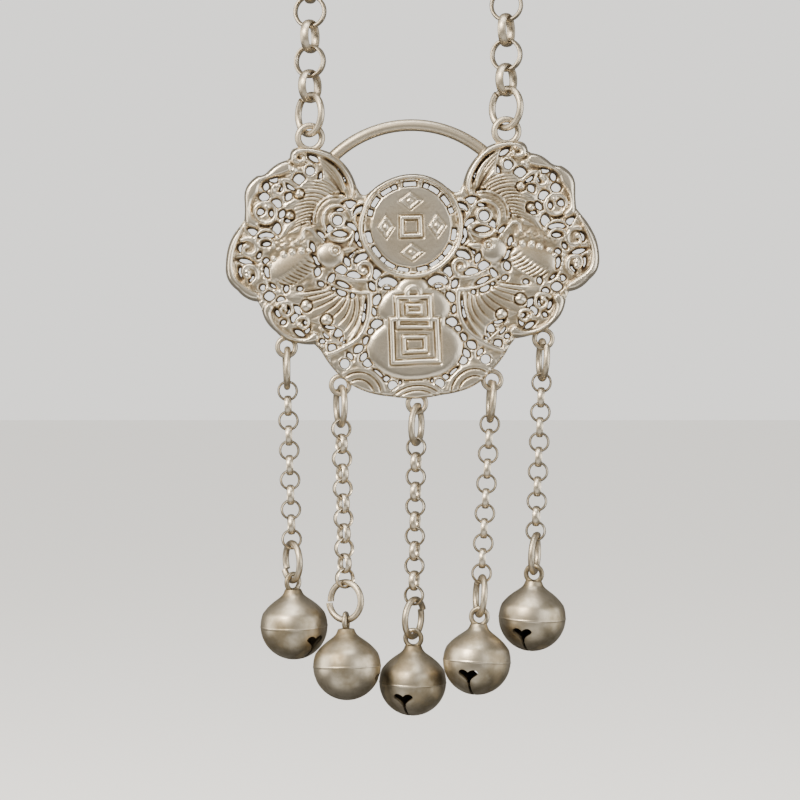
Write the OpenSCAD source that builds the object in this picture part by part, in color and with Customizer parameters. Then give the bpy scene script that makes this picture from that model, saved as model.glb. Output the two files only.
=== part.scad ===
// Longevity lock pendant: pierced silver plaque, five bells on small chains, whole neck chain.
// Millimetres. It hangs upright, front to -Y, and the origin is the nape, where the chain rests.

/* [Plaque] */
// Width of the plaque over its middle lobes
plaque_w = 75; // [70:1:80]
// Thickness of the pierced web
web_t = 1.3; // [1.1:0.1:1.6]
// Height of the rims and the tallest relief above the web
relief_h = 1.5; // [1.2:0.1:2]
// Width of the raised rim along the outline
rim_w = 1.5; // [1.2:0.1:1.8]
// Smallest gap that is cut through, length times width
gap_min = 1.65; // [1.65:0.05:2.2]
// Width of the wires of the scrolls
scroll_w = 0.6; // [0.5:0.05:0.7]
// Lean of the plaque in the picture, right side up
plaque_lean = 1.85; // [0:0.05:3]

/* [Handle and eyes] */
// Wire of the round handle
handle_wire = 2.4; // [2:0.1:2.8]
// Radius of the handle's arc
handle_r = 22.5; // [22:0.1:23]
// Outer radius of the two upper eyes
top_eye_r = 2.95; // [2.8:0.05:3.2]
// Wire of the upper eyes
top_eye_wire = 1.2; // [1:0.05:1.25]
// Outer radius of the five lower eyes
low_eye_r = 2.2; // [2.15:0.05:2.4]
// Wire of the lower eyes
low_eye_wire = 0.9; // [0.8:0.05:0.95]

/* [Rings] */
// Outer diameter of the two neck rings
neck_ring_d = 9; // [8.6:0.1:9.6]
// Wire of the neck rings
neck_ring_wire = 1.3; // [1.1:0.05:1.35]
// Outer diameter of the rings above and below the small chains
drop_ring_d = 8.6; // [8.2:0.1:9.2]
// Wire of those rings
drop_ring_wire = 1.2; // [1:0.05:1.25]

/* [Chains] */
// Outer diameter of a neck chain link
neck_link_d = 6.6; // [6.5:0.05:6.8]
// Radial thickness of a neck chain link
neck_link_t = 0.68; // [0.6:0.02:0.7]
// Band width of a neck chain link
neck_link_w = 1.8; // [1.5:0.05:1.9]
// Length of the straight rise above the plaque before the chain spreads
neck_rise = 24; // [18:1:30]
// Half width of the loop at the sides of the neck
neck_half = 64; // [60:1:70]
// Outer diameter of a small chain link
drop_link_d = 4; // [3.95:0.05:4.15]
// Radial thickness of a small chain link
drop_link_t = 0.42; // [0.36:0.02:0.44]
// Band width of a small chain link
drop_link_w = 1.35; // [1.1:0.05:1.4]
// Links of each small chain
drop_links = 11; // [9:2:13]

/* [Bells] */
// Diameter of a bell
bell_d = 13.5; // [12.6:0.1:13.6]
// Wall of a bell
bell_wall = 0.6; // [0.5:0.05:0.8]
// Width of the slit through the bottom
bell_slit = 0.5; // [0.4:0.05:0.7]
// Wire of the loop on a bell
bell_loop_wire = 1; // [0.9:0.05:1.05]
// Diameter of the loose ball in a bell
pellet_d = 3.2; // [3:0.1:3.6]

/* [Hidden] */
$fn = 48;
clear = 0.13;
turn_clear = 0.15;
eye_flat = cos(15);
foot_turn = 30;
k = plaque_w / 75;
tint = "silver";
eye_top_z = 29.2;
eye_top_x = 19.65;
top_hole = top_eye_r - top_eye_wire;
low_hole = low_eye_r - low_eye_wire;
neck_in = neck_ring_d / 2 - neck_ring_wire;
drop_in = drop_ring_d / 2 - drop_ring_wire;
neck_link_in = neck_link_d / 2 - neck_link_t;
drop_link_in = drop_link_d / 2 - drop_link_t;
drop_pitch = 2 * drop_link_in - 0.18;
bell_r = bell_d / 2;
loop_in = 1.15;
loop_z = bell_r + 2.05;
bell_top = bell_r * 1.265;
shoulder = 0.95;
web_top = web_t / 2;
low = web_top + relief_h * 0.35;
mid = web_top + relief_h * 0.65;
high = web_top + relief_h;

// Columns: x, z and bulge of the arc to the next row, as seen on the left half from the coin down.
outline = [
  [-7.6, 18.2, 0.0], [-8.3, 17.6, -0.25], [-9.8, 17.6, 0.0], [-10.6, 19.0, 0.75], [-15.4, 26.0, 0.45],
  [-21.6, 27.25, 0.75], [-23.8, 25.1, 0.0], [-24.4, 24.65, 0.35], [-28.3, 22.6, -0.25], [-30.4, 21.9, 0.75],
  [-33.0, 17.4, -0.1], [-33.3, 13.1, 0.0], [-35.1, 10.8, 0.5], [-37.3, 4.2, 0.75], [-35.2, -0.9, 0.55],
  [-31.1, -3.2, 0.0], [-30.4, -4.6, 0.6], [-27.6, -9.7, 0.55], [-23.2, -11.8, 0.1], [-20.1, -12.1, 0.0],
  [-18.9, -13.5, 0.5], [-13.4, -20.2, 0.55], [-5.2, -23.1, 0.1]
];

// Columns: x, z, length, width and turn of each gap on the left half.
gaps = [
  [-27.1, 21.0, 1.9, 0.85, 0], [-28.8, 19.7, 1.4, 1.0, 80], [-29.2, 17.5, 1.7, 1.5, 45],
  [-25.5, 19.7, 1.7, 0.6, 75], [-23.7, 19.6, 1.8, 0.95, -35], [-24.2, 17.6, 1.5, 1.1, 60],
  [-22.1, 21.1, 2.2, 1.8, 45], [-26.7, 16.2, 1.9, 1.5, -30], [-30.1, 14.6, 1.3, 1.1, 0],
  [-27.9, 14.2, 1.0, 0.7, 90], [-25.7, 14.1, 1.5, 1.0, 60], [-24.5, 12.8, 1.1, 0.6, 10],
  [-29.0, 12.0, 1.3, 0.45, 0], [-31.7, 10.7, 2.1, 1.1, -25], [-26.9, 11.2, 2.0, 1.3, 60],
  [-29.0, 9.9, 2.9, 1.1, 0], [-19.5, 12.8, 1.5, 0.85, 80], [-18.7, 14.6, 0.9, 0.75, 60],
  [-17.1, 16.1, 1.8, 0.95, 40], [-14.6, 17.3, 1.6, 0.65, 10], [-18.05, 9.4, 1.8, 0.9, -52],
  [-19.0, 25.0, 2.2, 0.8, -30], [-19.75, 22.55, 1.65, 1.65, 0], [-17.4, 21.6, 1.8, 0.9, 60],
  [-15.9, 24.3, 1.4, 0.45, -38], [-14.6, 22.9, 1.6, 0.65, -52], [-13.3, 21.1, 1.9, 0.6, -72],
  [-12.1, 15.7, 2.5, 1.2, -5], [-10.4, 14.25, 2.3, 1.2, 38], [-14.0, 14.7, 1.4, 0.5, 15],
  [-14.6, 12.5, 1.85, 1.85, 0], [-11.7, 11.2, 2.0, 1.0, -38], [-16.25, 10.85, 1.6, 1.1, 60],
  [-14.3, 9.85, 2.6, 1.0, -5], [-19.75, 7.2, 1.6, 0.8, -75], [-10.8, 9.1, 1.8, 0.65, 88],
  [-10.35, 7.6, 1.2, 0.5, -60], [-11.3, 5.7, 1.5, 0.75, 30], [-12.1, 5.1, 0.9, 0.7, 0],
  [-10.2, 4.7, 2.7, 1.3, 25], [-18.9, 4.5, 2.4, 0.95, -45], [-13.1, 4.1, 1.7, 0.9, -65],
  [-14.3, 2.5, 2.0, 1.7, 0], [-11.8, 1.4, 2.4, 1.3, -10], [-7.05, 1.3, 2.2, 1.5, -70],
  [-18.95, 2.3, 1.6, 1.1, 75], [-16.3, 0.8, 2.2, 0.95, 58], [-14.0, -0.35, 2.4, 0.8, -25],
  [-18.4, -0.15, 1.1, 0.75, -30], [-14.3, -2.0, 1.8, 1.1, -28], [-15.9, -1.15, 0.6, 0.5, 0],
  [-12.05, -2.7, 1.0, 0.6, -80], [-8.25, -0.9, 1.6, 1.0, -60], [-5.0, -0.4, 3.5, 2.1, 0],
  [-7.4, -3.6, 2.0, 1.4, 60], [-9.85, -5.0, 1.4, 0.45, 85], [-10.05, -6.9, 1.7, 0.6, 82],
  [-8.05, -5.9, 1.5, 0.7, -70], [-7.45, -8.5, 2.0, 1.6, 15], [-8.7, -9.9, 1.1, 0.9, 40],
  [-9.85, -11.7, 1.5, 0.9, 60], [-11.4, -13.35, 1.8, 1.2, 40], [-10.4, -14.95, 1.6, 1.0, 60],
  [-12.95, -14.8, 1.3, 0.8, -60], [-14.0, -16.25, 1.85, 1.85, 0], [-9.6, -16.3, 1.6, 1.4, 0],
  [-7.5, -18.4, 1.8, 0.45, -40], [-5.9, -19.5, 1.1, 0.9, 0], [-4.7, -20.85, 1.85, 1.85, 0],
  [-3.2, -20.3, 0.6, 0.4, 80], [-17.55, -10.2, 1.6, 0.9, -62], [-15.1, -10.0, 1.9, 1.4, 35],
  [-18.5, -11.6, 0.9, 0.8, 0], [-14.4, -11.65, 1.4, 0.9, 80], [-16.5, -13.1, 1.6, 1.4, -45],
  [-16.6, -8.6, 2.2, 1.0, 0], [-23.0, -9.75, 1.9, 0.8, -28], [-21.4, -9.0, 1.4, 0.8, 70],
  [-33.8, 7.5, 1.6, 1.4, 60], [-29.0, 8.2, 1.5, 0.7, 5], [-33.3, 4.7, 2.4, 0.75, -15],
  [-30.6, 5.9, 1.0, 0.6, 60], [-29.2, 4.8, 1.1, 1.0, 0], [-29.1, 2.6, 1.9, 0.9, -75],
  [-34.3, 2.6, 1.8, 0.65, -80], [-32.1, 1.25, 1.2, 0.85, 55], [-29.9, -0.5, 1.1, 1.0, 0],
  [-28.7, -2.2, 1.9, 1.6, 0], [-26.5, -3.0, 1.3, 1.1, 0], [-25.35, -0.85, 1.1, 0.8, 80],
  [-22.6, -1.0, 0.9, 0.7, 0], [-27.9, -0.2, 1.1, 0.35, -40], [-23.0, -5.2, 2.2, 1.2, -38],
  [-25.1, -5.4, 1.1, 0.5, 85], [-27.2, -5.8, 1.4, 0.7, -65], [-26.2, -4.8, 0.8, 0.6, 0],
  [-23.9, -6.8, 1.7, 1.4, 60], [-26.2, -7.7, 0.9, 0.7, 30], [-21.6, -7.6, 0.8, 0.7, 0]
];

// Columns: angle from the top of the coin and length of each slot between its disc and its ring.
slots = [[21.8, 0.9], [33.2, 2.1], [53.8, 2.0], [69, 1.1], [102, 2.2], [124, 2.2], [137, 1.0],
  [148.6, 2.1], [167, 2.0]];

// Columns: x, z, radius and angle at the outer end, radius and angle at the inner end.
scrolls = [
  [-26.5, 19.2, 1.75, 75, 0.8, -240], [-29.0, 14.3, 2.1, 200, 2.05, -150], [-29.1, 7.9, 1.5, 190, 1.5, 0],
  [-29.0, 8.6, 2.4, 165, 2.4, 15], [-32.7, 7.2, 2.2, 120, 0.8, -230], [-32.8, 2.4, 2.1, -65, 0.7, 240],
  [-25.7, -5.2, 1.9, 150, 0.8, -230], [-22.2, -7.9, 1.5, 170, 0.8, -160], [-9.8, 2.5, 1.9, -60, 0.6, 290],
  [-5.0, -0.9, 2.4, 215, 2.4, 45], [-9.9, 13.9, 1.9, 225, 1.9, 80], [-10.0, 4.0, 2.1, 190, 2.1, 40],
  [-21.5, 25.2, 1.7, 60, 0.8, 420],
  [-14.6, 12.4, 4.9, 185, 4.9, 78], [-14.6, 12.4, 3.0, 215, 3.0, 20], [-14.3, 11.2, 3.0, 215, 3.0, 330]
];

// Columns: x, z, outer and inner radius of the plain rings.
rings = [[-19.75, 22.55, 1.55, 0.8], [-14.6, 12.5, 1.75, 0.92], [-14.0, -16.25, 1.5, 0.92],
  [-4.7, -20.85, 1.4, 0.92]];

// Columns: start, bend and end of each rib of the wings.
ribs = [
  [[-13.2, 17.1], [-14.2, 22.6], [-18.6, 25.2]], [[-13.4, 17.1], [-14.9, 20.9], [-17.9, 23.7]],
  [[-13.9, 17.8], [-15.4, 20.6], [-17.3, 21.9]], [[-14.8, 18.2], [-17.2, 20.6], [-21.6, 20.1]],
  [[-15.3, 17.2], [-17.8, 19.4], [-22.0, 18.8]], [[-17.4, 16.5], [-20.2, 18.4], [-24.9, 15.6]],
  [[-18.6, 15.3], [-20.9, 16.6], [-24.0, 14.8]], [[-19.0, 14.5], [-20.9, 14.9], [-23.2, 13.4]],
  [[-19.8, 13.2], [-22.3, 13.4], [-24.4, 11.2]], [[-20.4, 12.2], [-23.0, 12.6], [-25.8, 10.0]],
  [[-11.0, -3.4], [-10.3, -6.6], [-13.9, -10.4]], [[-12.0, -3.6], [-11.6, -6.0], [-14.0, -8.1]],
  [[-13.0, -3.6], [-13.1, -5.6], [-16.1, -7.6]], [[-13.6, -3.4], [-14.8, -5.4], [-17.0, -5.9]],
  [[-14.5, -3.2], [-16.5, -5.0], [-20.0, -4.8]], [[-15.5, -2.7], [-17.7, -3.7], [-20.2, -3.3]],
  [[-16.4, -1.8], [-18.6, -2.6], [-25.2, -1.7]], [[-17.5, -0.9], [-20.5, -1.5], [-24.6, -1.2]],
  [[-20.3, -5.8], [-21.8, -6.4], [-23.2, -5.4]]
];

// Columns: start, bend and end of each plain band.
bands = [
  [[-8.9, -2.5], [-7.6, -12.0], [-17.6, -14.4]], [[-15.5, 2.2], [-12.4, 0.0], [-8.6, 0.4]],
  [[-16.9, 0.0], [-13.0, -2.3], [-9.1, -2.0]], [[-9.3, -2.3], [-9.6, -8.0], [-12.0, -10.9]]
];

// Columns: x, z, radius and height above the web, as a share of the relief.
beads = [
  [-24.1, 13.8, 0.8, 0.8], [-23.2, 22.7, 1.0, 0.7], [-27.7, 5.5, 0.5, 0.7],
  [-25.8, 6.0, 0.6, 0.8], [-24.0, 6.7, 0.65, 0.8], [-22.3, 7.0, 0.65, 0.8], [-20.7, 6.9, 0.65, 0.8],
  [-28.6, 4.1, 0.6, 0.7], [-21.4, -4.1, 1.05, 0.9], [-17.6, -7.2, 0.9, 0.9],
  [-33.0, 2.6, 0.7, 0.8]
];

// Columns: x, z, length, width, turn and height of the bats' smooth heads and bodies.
swells = [
  [-24.0, 3.3, 9.6, 5.8, -8, 0.95], [-17.1, 6.1, 5.4, 5.2, 0, 1.15], [-13.0, 6.4, 3.6, 1.5, 3, 0.7],
  [-16.6, 3.1, 2.6, 1.8, -60, 0.6]
];

// Columns: x, z, length, width and turn of the places where the rim swells.
pads = [
  [-26.0, 22.9, 4.6, 2.6, 38], [-32.0, 12.1, 4.0, 1.8, -28], [-32.4, -1.0, 6.0, 2.9, -33],
  [-28.9, -4.0, 3.2, 2.2, -60], [-24.6, -10.6, 5.6, 1.8, -18], [-18.2, -12.9, 1.8, 1.8, 0],
  [-22.4, 25.2, 2.4, 2.2, 0], [-34.6, 10.4, 2.6, 1.6, 60]
];

// Columns: x, z, width and height of the fret bars on the gourd, right half.
fret = [
  [0, -3.4, 7.4, 1.0], [0, -9.4, 7.4, 0.9], [0, -7.9, 9.8, 0.9], [0, -16.3, 9.8, 1.0], [3.3, -6.4, 0.9, 6.8],
  [4.5, -12.1, 0.95, 9.2], [0, -5.0, 3.6, 0.8], [0, -6.6, 3.6, 0.8], [1.5, -5.8, 0.7, 2.2],
  [0, -11.4, 5.0, 0.85], [0, -14.3, 5.0, 0.85], [2.2, -12.85, 0.85, 3.6]
];

// Columns: x, z of each lower eye, lean to the right, lean to the back, turn of the upper ring,
// turn of the chain at its top and at its foot, turn of the lower ring and turn of the bell.
strands = [
  [-25.7, -12.5, 1.46, 2.65, 2, 0, 7, 26, 44],
  [-15.2, -20.45, 1.44, -2.65, 12, 20, 30, 56, 80],
  [0, -24.6, -0.83, 2.65, -18, -16, -16, -28, -18],
  [15.2, -20.45, -3.2, -2.65, 2, 0, -2, 9, -17],
  [25.7, -12.5, -2.15, 2.65, 7, 0, -8, -15, -21]
];

function turn2(p, a) = [p[0] * cos(a) - p[1] * sin(a), p[0] * sin(a) + p[1] * cos(a)];
function on_plaque(x, z) = turn2([x * k, (z - eye_top_z) * k], plaque_lean);
function bez2(p, t) = p[0] * (1 - t) * (1 - t) + p[1] * 2 * t * (1 - t) + p[2] * t * t;
function bez3(p, t) = p[0] * pow(1 - t, 3) + p[1] * 3 * t * pow(1 - t, 2) + p[2] * 3 * t * t * (1 - t)
  + p[3] * pow(t, 3);
function unit(v) = v / norm(v);

// Arc from a to b with the given bulge to the left, without its last point.
function arc_to(a, b, bulge) = let (
  n = abs(bulge) < 0.05 ? 1 : max(2, round(norm(b - a) / 2.5)),
  m = unit([-(b - a)[1], (b - a)[0]])
) [for (i = [0:n - 1]) let (t = i / n) a + (b - a) * t - m * bulge * 4 * t * (1 - t)];

half = [for (i = [0:len(outline) - 1]) let (
  a = [outline[i][0], outline[i][1]],
  b = i < len(outline) - 1 ? [outline[i + 1][0], outline[i + 1][1]] : [0, -23.75]
) each arc_to(a, b, outline[i][2])];

module both() {
  children();
  mirror([1, 0]) children();
}

module outline2() {
  both() polygon(concat([[0, 18.2]], half, [[0, -23.75]]));
  translate([0, 10.75]) circle(r = 10.55, $fn = 40);
}

module gaps2() {
  both() for (g = gaps) if (g[2] * g[3] >= gap_min)
    translate([g[0], g[1]]) rotate(g[4]) scale([g[2], g[3]]) circle(d = 1.1, $fn = g[2] == g[3] ? 8 : g[2] < 1.5 * g[3] ? 5 : 4);
  translate([0, 19.6]) square([2.5, 0.8], center = true);
  both() for (s = slots) translate([0, 10.65]) rotate(s[0]) translate([0, 8.95])
    square([s[1], 0.85], center = true);
}

// A curved wire whose radius and angle run evenly between its two ends.
module scroll2(s, w) {
  n = max(3, round(abs(s[5] - s[3]) / 62));
  mids = [for (i = [0:n]) let (t = i / n, r = s[2] + (s[4] - s[2]) * t, a = s[3] + (s[5] - s[3]) * t)
    [r, a]];
  translate([s[0], s[1]]) polygon(concat(
    [for (m = mids) (m[0] + w / 2) * [cos(m[1]), sin(m[1])]],
    [for (i = [n:-1:0]) (mids[i][0] - w / 2) * [cos(mids[i][1]), sin(mids[i][1])]]));
}

// A curved bar that is widest in its middle.
module rib2(p, w, n) {
  rows = [for (i = [0:n]) let (t = i / n, q = bez2(p, t), d = bez2(p, t + 0.01) - bez2(p, t - 0.01),
    h = w / 2 * (0.55 + 0.9 * sqrt(t * (1 - t)))) [q, h * unit([-d[1], d[0]])]];
  polygon(concat([for (r = rows) r[0] + r[1]], [for (i = [n:-1:0]) rows[i][0] - rows[i][1]]));
}

module ring2(ro, ri, n) {
  difference() {
    circle(r = ro, $fn = n);
    circle(r = ri, $fn = n);
  }
}

module gourd2() {
  translate([0, -5.5]) scale([7.4, 4.7]) circle(r = 1, $fn = 24);
  translate([0, -13.6]) scale([9.95, 6.5]) circle(r = 1, $fn = 28);
  translate([0, -8.8]) square([12.8, 3.4], center = true);
  translate([0, -0.9]) square([4.6, 2.6], center = true);
}

// The plain lozenge that stands in each of the four places round the coin's square.
module lozenge2() {
  scale([1.5, 1]) ring2(1.25, 0.8, 4);
  scale([1.5, 1]) circle(r = 0.4, $fn = 4);
}

module wave2(x, z, r, hollow) {
  translate([x, z]) {
    ring2(r, r - hollow, 28);
    ring2(r - hollow - 0.35, r - hollow - 1.35, 24);
    circle(r = r - hollow - 1.7, $fn = 12);
  }
}

module low_relief2() {
  both() for (r = ribs) rib2(r, 0.72, norm(r[2] - r[0]) < 5 ? 2 : 3);
  translate([0, 10.6]) circle(r = 8.45, $fn = 32);
  both() intersection() {
    wave2(-11.6, -22.6, 5.75, 1.1);
    translate([-19, -24]) square([14.1, 10]);
    offset(delta = -0.35) outline2();
  }
  intersection() {
    wave2(0, -28.1, 8.23, 0.95);
    translate([-5.4, -23.5]) square([10.8, 3.6]);
    offset(delta = -0.35) outline2();
  }
}

module mid_relief2() {
  both() for (s = scrolls) scroll2(s, scroll_w);
  both() for (r = rings) translate([r[0], r[1]]) ring2(r[2], r[3], 16);
  both() for (b = bands) rib2(b, 1.0, 5);
  translate([0, 10.6]) ring2(8.5, 8.1, 32);
  translate([0, 10.7]) difference() {
    square(4.2, center = true);
    square(2.9, center = true);
  }
  for (i = [0:3]) translate([0, 10.7]) rotate(90 * i) translate([0, 5.1]) lozenge2();
}

module rim2() {
  difference() {
    offset(delta = -0.06) outline2();
    offset(delta = -rim_w) outline2();
    translate([-30, -30]) square([60, 18]);
    translate([-9.4, 10]) square([18.8, 30]);
    translate([-20, -30]) square([40, 38]);
  }
  both() intersection() {
    for (p = pads) translate([p[0], p[1]]) rotate(p[4]) scale([p[2], p[3]]) circle(d = 1, $fn = 8);
    offset(delta = -0.06) outline2();
  }
  translate([0, 10.75]) ring2(10.5, 9.5, 40);
}

module swell(s) {
  translate([s[0], s[1], 0]) rotate(s[4])
    scale([s[2] / 2, s[3] / 2, web_top + relief_h * s[5]]) hull() {
      cylinder(r = 1, h = 0.55, $fn = 9);
      cylinder(r = 0.62, h = 1, $fn = 9);
    }
}

module bead(b) {
  translate([b[0], b[1], 0])
    cylinder(r1 = b[2] * 1.25, r2 = b[2] * 0.7, h = web_top + relief_h * b[3], $fn = 6);
}

module torus(ro, wire, n, m) {
  rotate_extrude($fn = n) translate([ro - wire / 2, 0]) circle(d = wire, $fn = m);
}

module eye(x, z, ro, wire) {
  translate([x, z, 0]) torus(ro, wire, 12, 6);
}

module handle() {
  reach = 49;
  translate([0, 8.7, -web_top - handle_wire / 2 + 0.35]) rotate(90 - reach)
    rotate_extrude(angle = 2 * reach, $fn = 72) translate([handle_r, 0]) circle(d = handle_wire, $fn = 6);
}

module plaque_flat() {
  difference() {
    translate([0, 0, -web_top]) linear_extrude(web_t) outline2();
    translate([0, 0, -web_top - 1]) linear_extrude(web_t + 2) gaps2();
  }
  linear_extrude(low) low_relief2();
  linear_extrude(mid) mid_relief2();
  linear_extrude(low + 0.15) gourd2();
  linear_extrude(mid + 0.45) both() for (f = fret) translate([f[0], f[1]]) square([f[2], f[3]], center = true);
  linear_extrude(high) rim2();
  for (m = [0, 1]) mirror([m, 0, 0]) {
    for (b = beads) bead(b);
    for (s = swells) swell(s);
    translate([-15.3, 6.45, 0]) linear_extrude(high + 0.2) ring2(1.05, 0.6, 12);
    translate([-15.3, 6.45, 0]) cylinder(r = 0.4, h = high + 0.25, $fn = 8);
    eye(-eye_top_x, eye_top_z, top_eye_r, top_eye_wire);
  }
  for (s = strands) eye(s[0], s[1], low_eye_r, low_eye_wire);
  handle();
}

module plaque() {
  color(tint) from_nape() rotate([0, -plaque_lean, 0]) scale(k) translate([0, 0, -eye_top_z])
    rotate([90, 0, 0]) plaque_flat();
}

// The loop of the neck chain, right half, from the ring up to the nape.
eye_right = on_plaque(eye_top_x, eye_top_z);
eye_left = on_plaque(-eye_top_x, eye_top_z);
strand_x = (eye_right[0] - eye_left[0]) / 2;
ring_up = top_hole * k * eye_flat - clear - turn_clear + neck_in;
link_up = ring_up + neck_in - clear + neck_link_in;
start_right = eye_right[1] + link_up;
start_left = eye_left[1] + link_up;
bend = max(start_right, start_left) + neck_rise;
side = [neck_half, 78, bend + 136];
nape = [0, side[1] + neck_half * 0.95, side[2] + 24];
lower = [[strand_x, 0, bend], [strand_x, 0, bend + 50], [neck_half * 0.98, side[1] - 56, side[2] - 36], side];
upper = [side, [neck_half, side[1] + 34, side[2] + 21.6], [neck_half * 0.56, nape[1], nape[2]], nape];

right_half = concat([[strand_x, 0, start_right]], [for (i = [0:70]) bez3(lower, i / 70)],
  [for (i = [1:50]) bez3(upper, i / 50)]);
left_half = concat([[-strand_x, 0, start_left]],
  [for (i = [1:len(right_half) - 1]) let (p = right_half[i]) [-p[0], p[1], p[2]]]);
path = concat(left_half, [for (i = [len(right_half) - 2:-1:0]) right_half[i]]);

function running(i, total) = i >= len(path) ? [] :
  let (now = i == 0 ? 0 : total + norm(path[i] - path[i - 1])) concat([now], running(i + 1, now));
along = running(0, 0);
table = [for (c = [0:2]) [for (i = [0:len(path) - 1]) [along[i], path[i][c]]]];
function at(s) = [for (c = [0:2]) lookup(s, table[c])];

length = along[len(along) - 1];
neck_links = 2 * round(length / (2 * neck_link_in - 0.27) / 2) + 1;
neck_pitch = length / (neck_links - 1);

// Turns a link so that its plane holds the path and, for every second link, the front.
module on_path(i) {
  s = i * neck_pitch;
  p = at(s);
  t = unit(at(s + 1.5) - at(s - 1.5));
  out = [p[0] * 0.9, p[1] - side[1] * 0.95, 0];
  ease = min(1, max(0, (min(s, length - s) - neck_rise - 10) / 110));
  want = unit([0, -1, 0] * (1 - ease) + unit(out) * ease);
  front = unit(want - t * (want * t));
  flank = cross(t, front);
  multmatrix([[front[0], flank[0], t[0], p[0]], [front[1], flank[1], t[1], p[1]],
    [front[2], flank[2], t[2], p[2]], [0, 0, 0, 1]]) children();
}

// A round link with a lens section, axis along X.
module link(d, t, w) {
  bow = (w * w + t * t) / (4 * t);
  rotate([0, 90, 0]) rotate_extrude($fn = 60) translate([d / 2 - t / 2, 0]) intersection() {
    translate([bow - t / 2, 0]) circle(r = bow, $fn = 60);
    translate([t / 2 - bow, 0]) circle(r = bow, $fn = 60);
  }
}

module from_nape() {
  translate(-nape) children();
}

module neck_chain() {
  color(tint) from_nape() for (i = [0:neck_links - 1]) {
    far = min(i, neck_links - 1 - i);
    hand = i < neck_links / 2 ? -1 : 1;
    on_path(i) rotate([0, 0, (i % 2 == 0 ? 90 : 0) + hand * foot_turn * max(0, 1 - far / 6)])
      link(neck_link_d, neck_link_t, neck_link_w);
  }
}

module neck_ring(eye_at, turn) {
  color(tint) from_nape() translate([eye_at[0], 0, eye_at[1] + ring_up]) rotate([0, 0, turn])
    rotate([0, 90, 0]) torus(neck_ring_d / 2, neck_ring_wire, 60, 60);
}

module neck_ring_left() {
  neck_ring(eye_left, 36);
}

module neck_ring_right() {
  neck_ring(eye_right, 42);
}

// Distances down a strand from the centre of its eye.
ring_a = low_hole * k * eye_flat - clear + drop_in;
link_a = ring_a + drop_in - clear + drop_link_in;
link_z = link_a + (drop_links - 1) * drop_pitch;
ring_z = link_z + drop_link_in - clear + drop_in;
hole_z = ring_z + drop_in - clear + loop_in;
bell_z = hole_z + loop_z;

module down(i, s) {
  row = strands[i];
  e = on_plaque(row[0], row[1]);
  color(tint) from_nape() translate([e[0], 0, e[1]]) rotate([row[3], -row[2], 0]) translate([0, 0, -s])
    children();
}

module ring_upper(i) {
  down(i, ring_a) rotate([0, 0, strands[i][4]]) rotate([0, 90, 0])
    torus(drop_ring_d / 2, drop_ring_wire, 60, 60);
}

module ring_lower(i) {
  down(i, ring_z) rotate([0, 0, strands[i][7]]) rotate([0, 90, 0])
    torus(drop_ring_d / 2, drop_ring_wire, 60, 60);
}

module drop_chain(i) {
  a = strands[i][5];
  b = strands[i][6];
  for (j = [0:drop_links - 1])
    down(i, link_a + j * drop_pitch)
      rotate([0, 0, a + (b - a) * j / (drop_links - 1) + (j % 2 == 0 ? 90 : 0)])
        link(drop_link_d, drop_link_t, drop_link_w);
}

module heart() {
  translate([-0.95, 0.25]) circle(r = 1.02, $fn = 24);
  translate([0.95, 0.25]) circle(r = 1.02, $fn = 24);
  polygon([[-1.93, 0], [-0.6, 1.1], [0.6, 1.1], [1.93, 0], [0.25, -1.7], [-0.25, -1.7]]);
}

// Half section of a bell: a ball whose top is a cone with a short neck, open at the very bottom.
module bell_half(r, top, from) {
  intersection() {
    circle(r = r, $fn = 64);
    polygon([[from, -r - 1], [r + 1, -r - 1], [r + 1, top - shoulder * (r + 1)],
      [from, top - shoulder * from]]);
  }
}

module bell_shell() {
  rotate_extrude($fn = 64) union() {
    difference() {
      bell_half(bell_r, bell_top, 0.12);
      bell_half(bell_r - bell_wall, bell_top - bell_wall * 1.36, -1);
    }
    translate([0.12, bell_r - 0.5]) square([1.6, 1.25]);
  }
}

module bell(i) {
  down(i, bell_z) rotate([0, 0, strands[i][8]]) {
    difference() {
      bell_shell();
      translate([-bell_slit / 2, -bell_r - 1, -bell_r - 1])
        cube([bell_slit, 2 * bell_r + 2, bell_r + 1 - bell_r * 0.45]);
      for (m = [0, 1]) mirror([0, m, 0]) rotate([24, 0, 0]) rotate([90, 0, 0])
        translate([0, 0, bell_r * 0.6]) linear_extrude(bell_r) heart();
    }
    translate([0, 0, loop_z]) rotate([90, 0, 0]) torus(loop_in + bell_loop_wire, bell_loop_wire, 60, 60);
  }
}

module pellet(i) {
  down(i, bell_z + bell_r - bell_wall - pellet_d / 2 - 0.2) sphere(d = pellet_d, $fn = 48);
}

module ring_upper_1() ring_upper(0);
module ring_upper_2() ring_upper(1);
module ring_upper_3() ring_upper(2);
module ring_upper_4() ring_upper(3);
module ring_upper_5() ring_upper(4);
module drop_chain_1() drop_chain(0);
module drop_chain_2() drop_chain(1);
module drop_chain_3() drop_chain(2);
module drop_chain_4() drop_chain(3);
module drop_chain_5() drop_chain(4);
module ring_lower_1() ring_lower(0);
module ring_lower_2() ring_lower(1);
module ring_lower_3() ring_lower(2);
module ring_lower_4() ring_lower(3);
module ring_lower_5() ring_lower(4);
module bell_1() bell(0);
module bell_2() bell(1);
module bell_3() bell(2);
module bell_4() bell(3);
module bell_5() bell(4);
module pellet_1() pellet(0);
module pellet_2() pellet(1);
module pellet_3() pellet(2);
module pellet_4() pellet(3);
module pellet_5() pellet(4);

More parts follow.
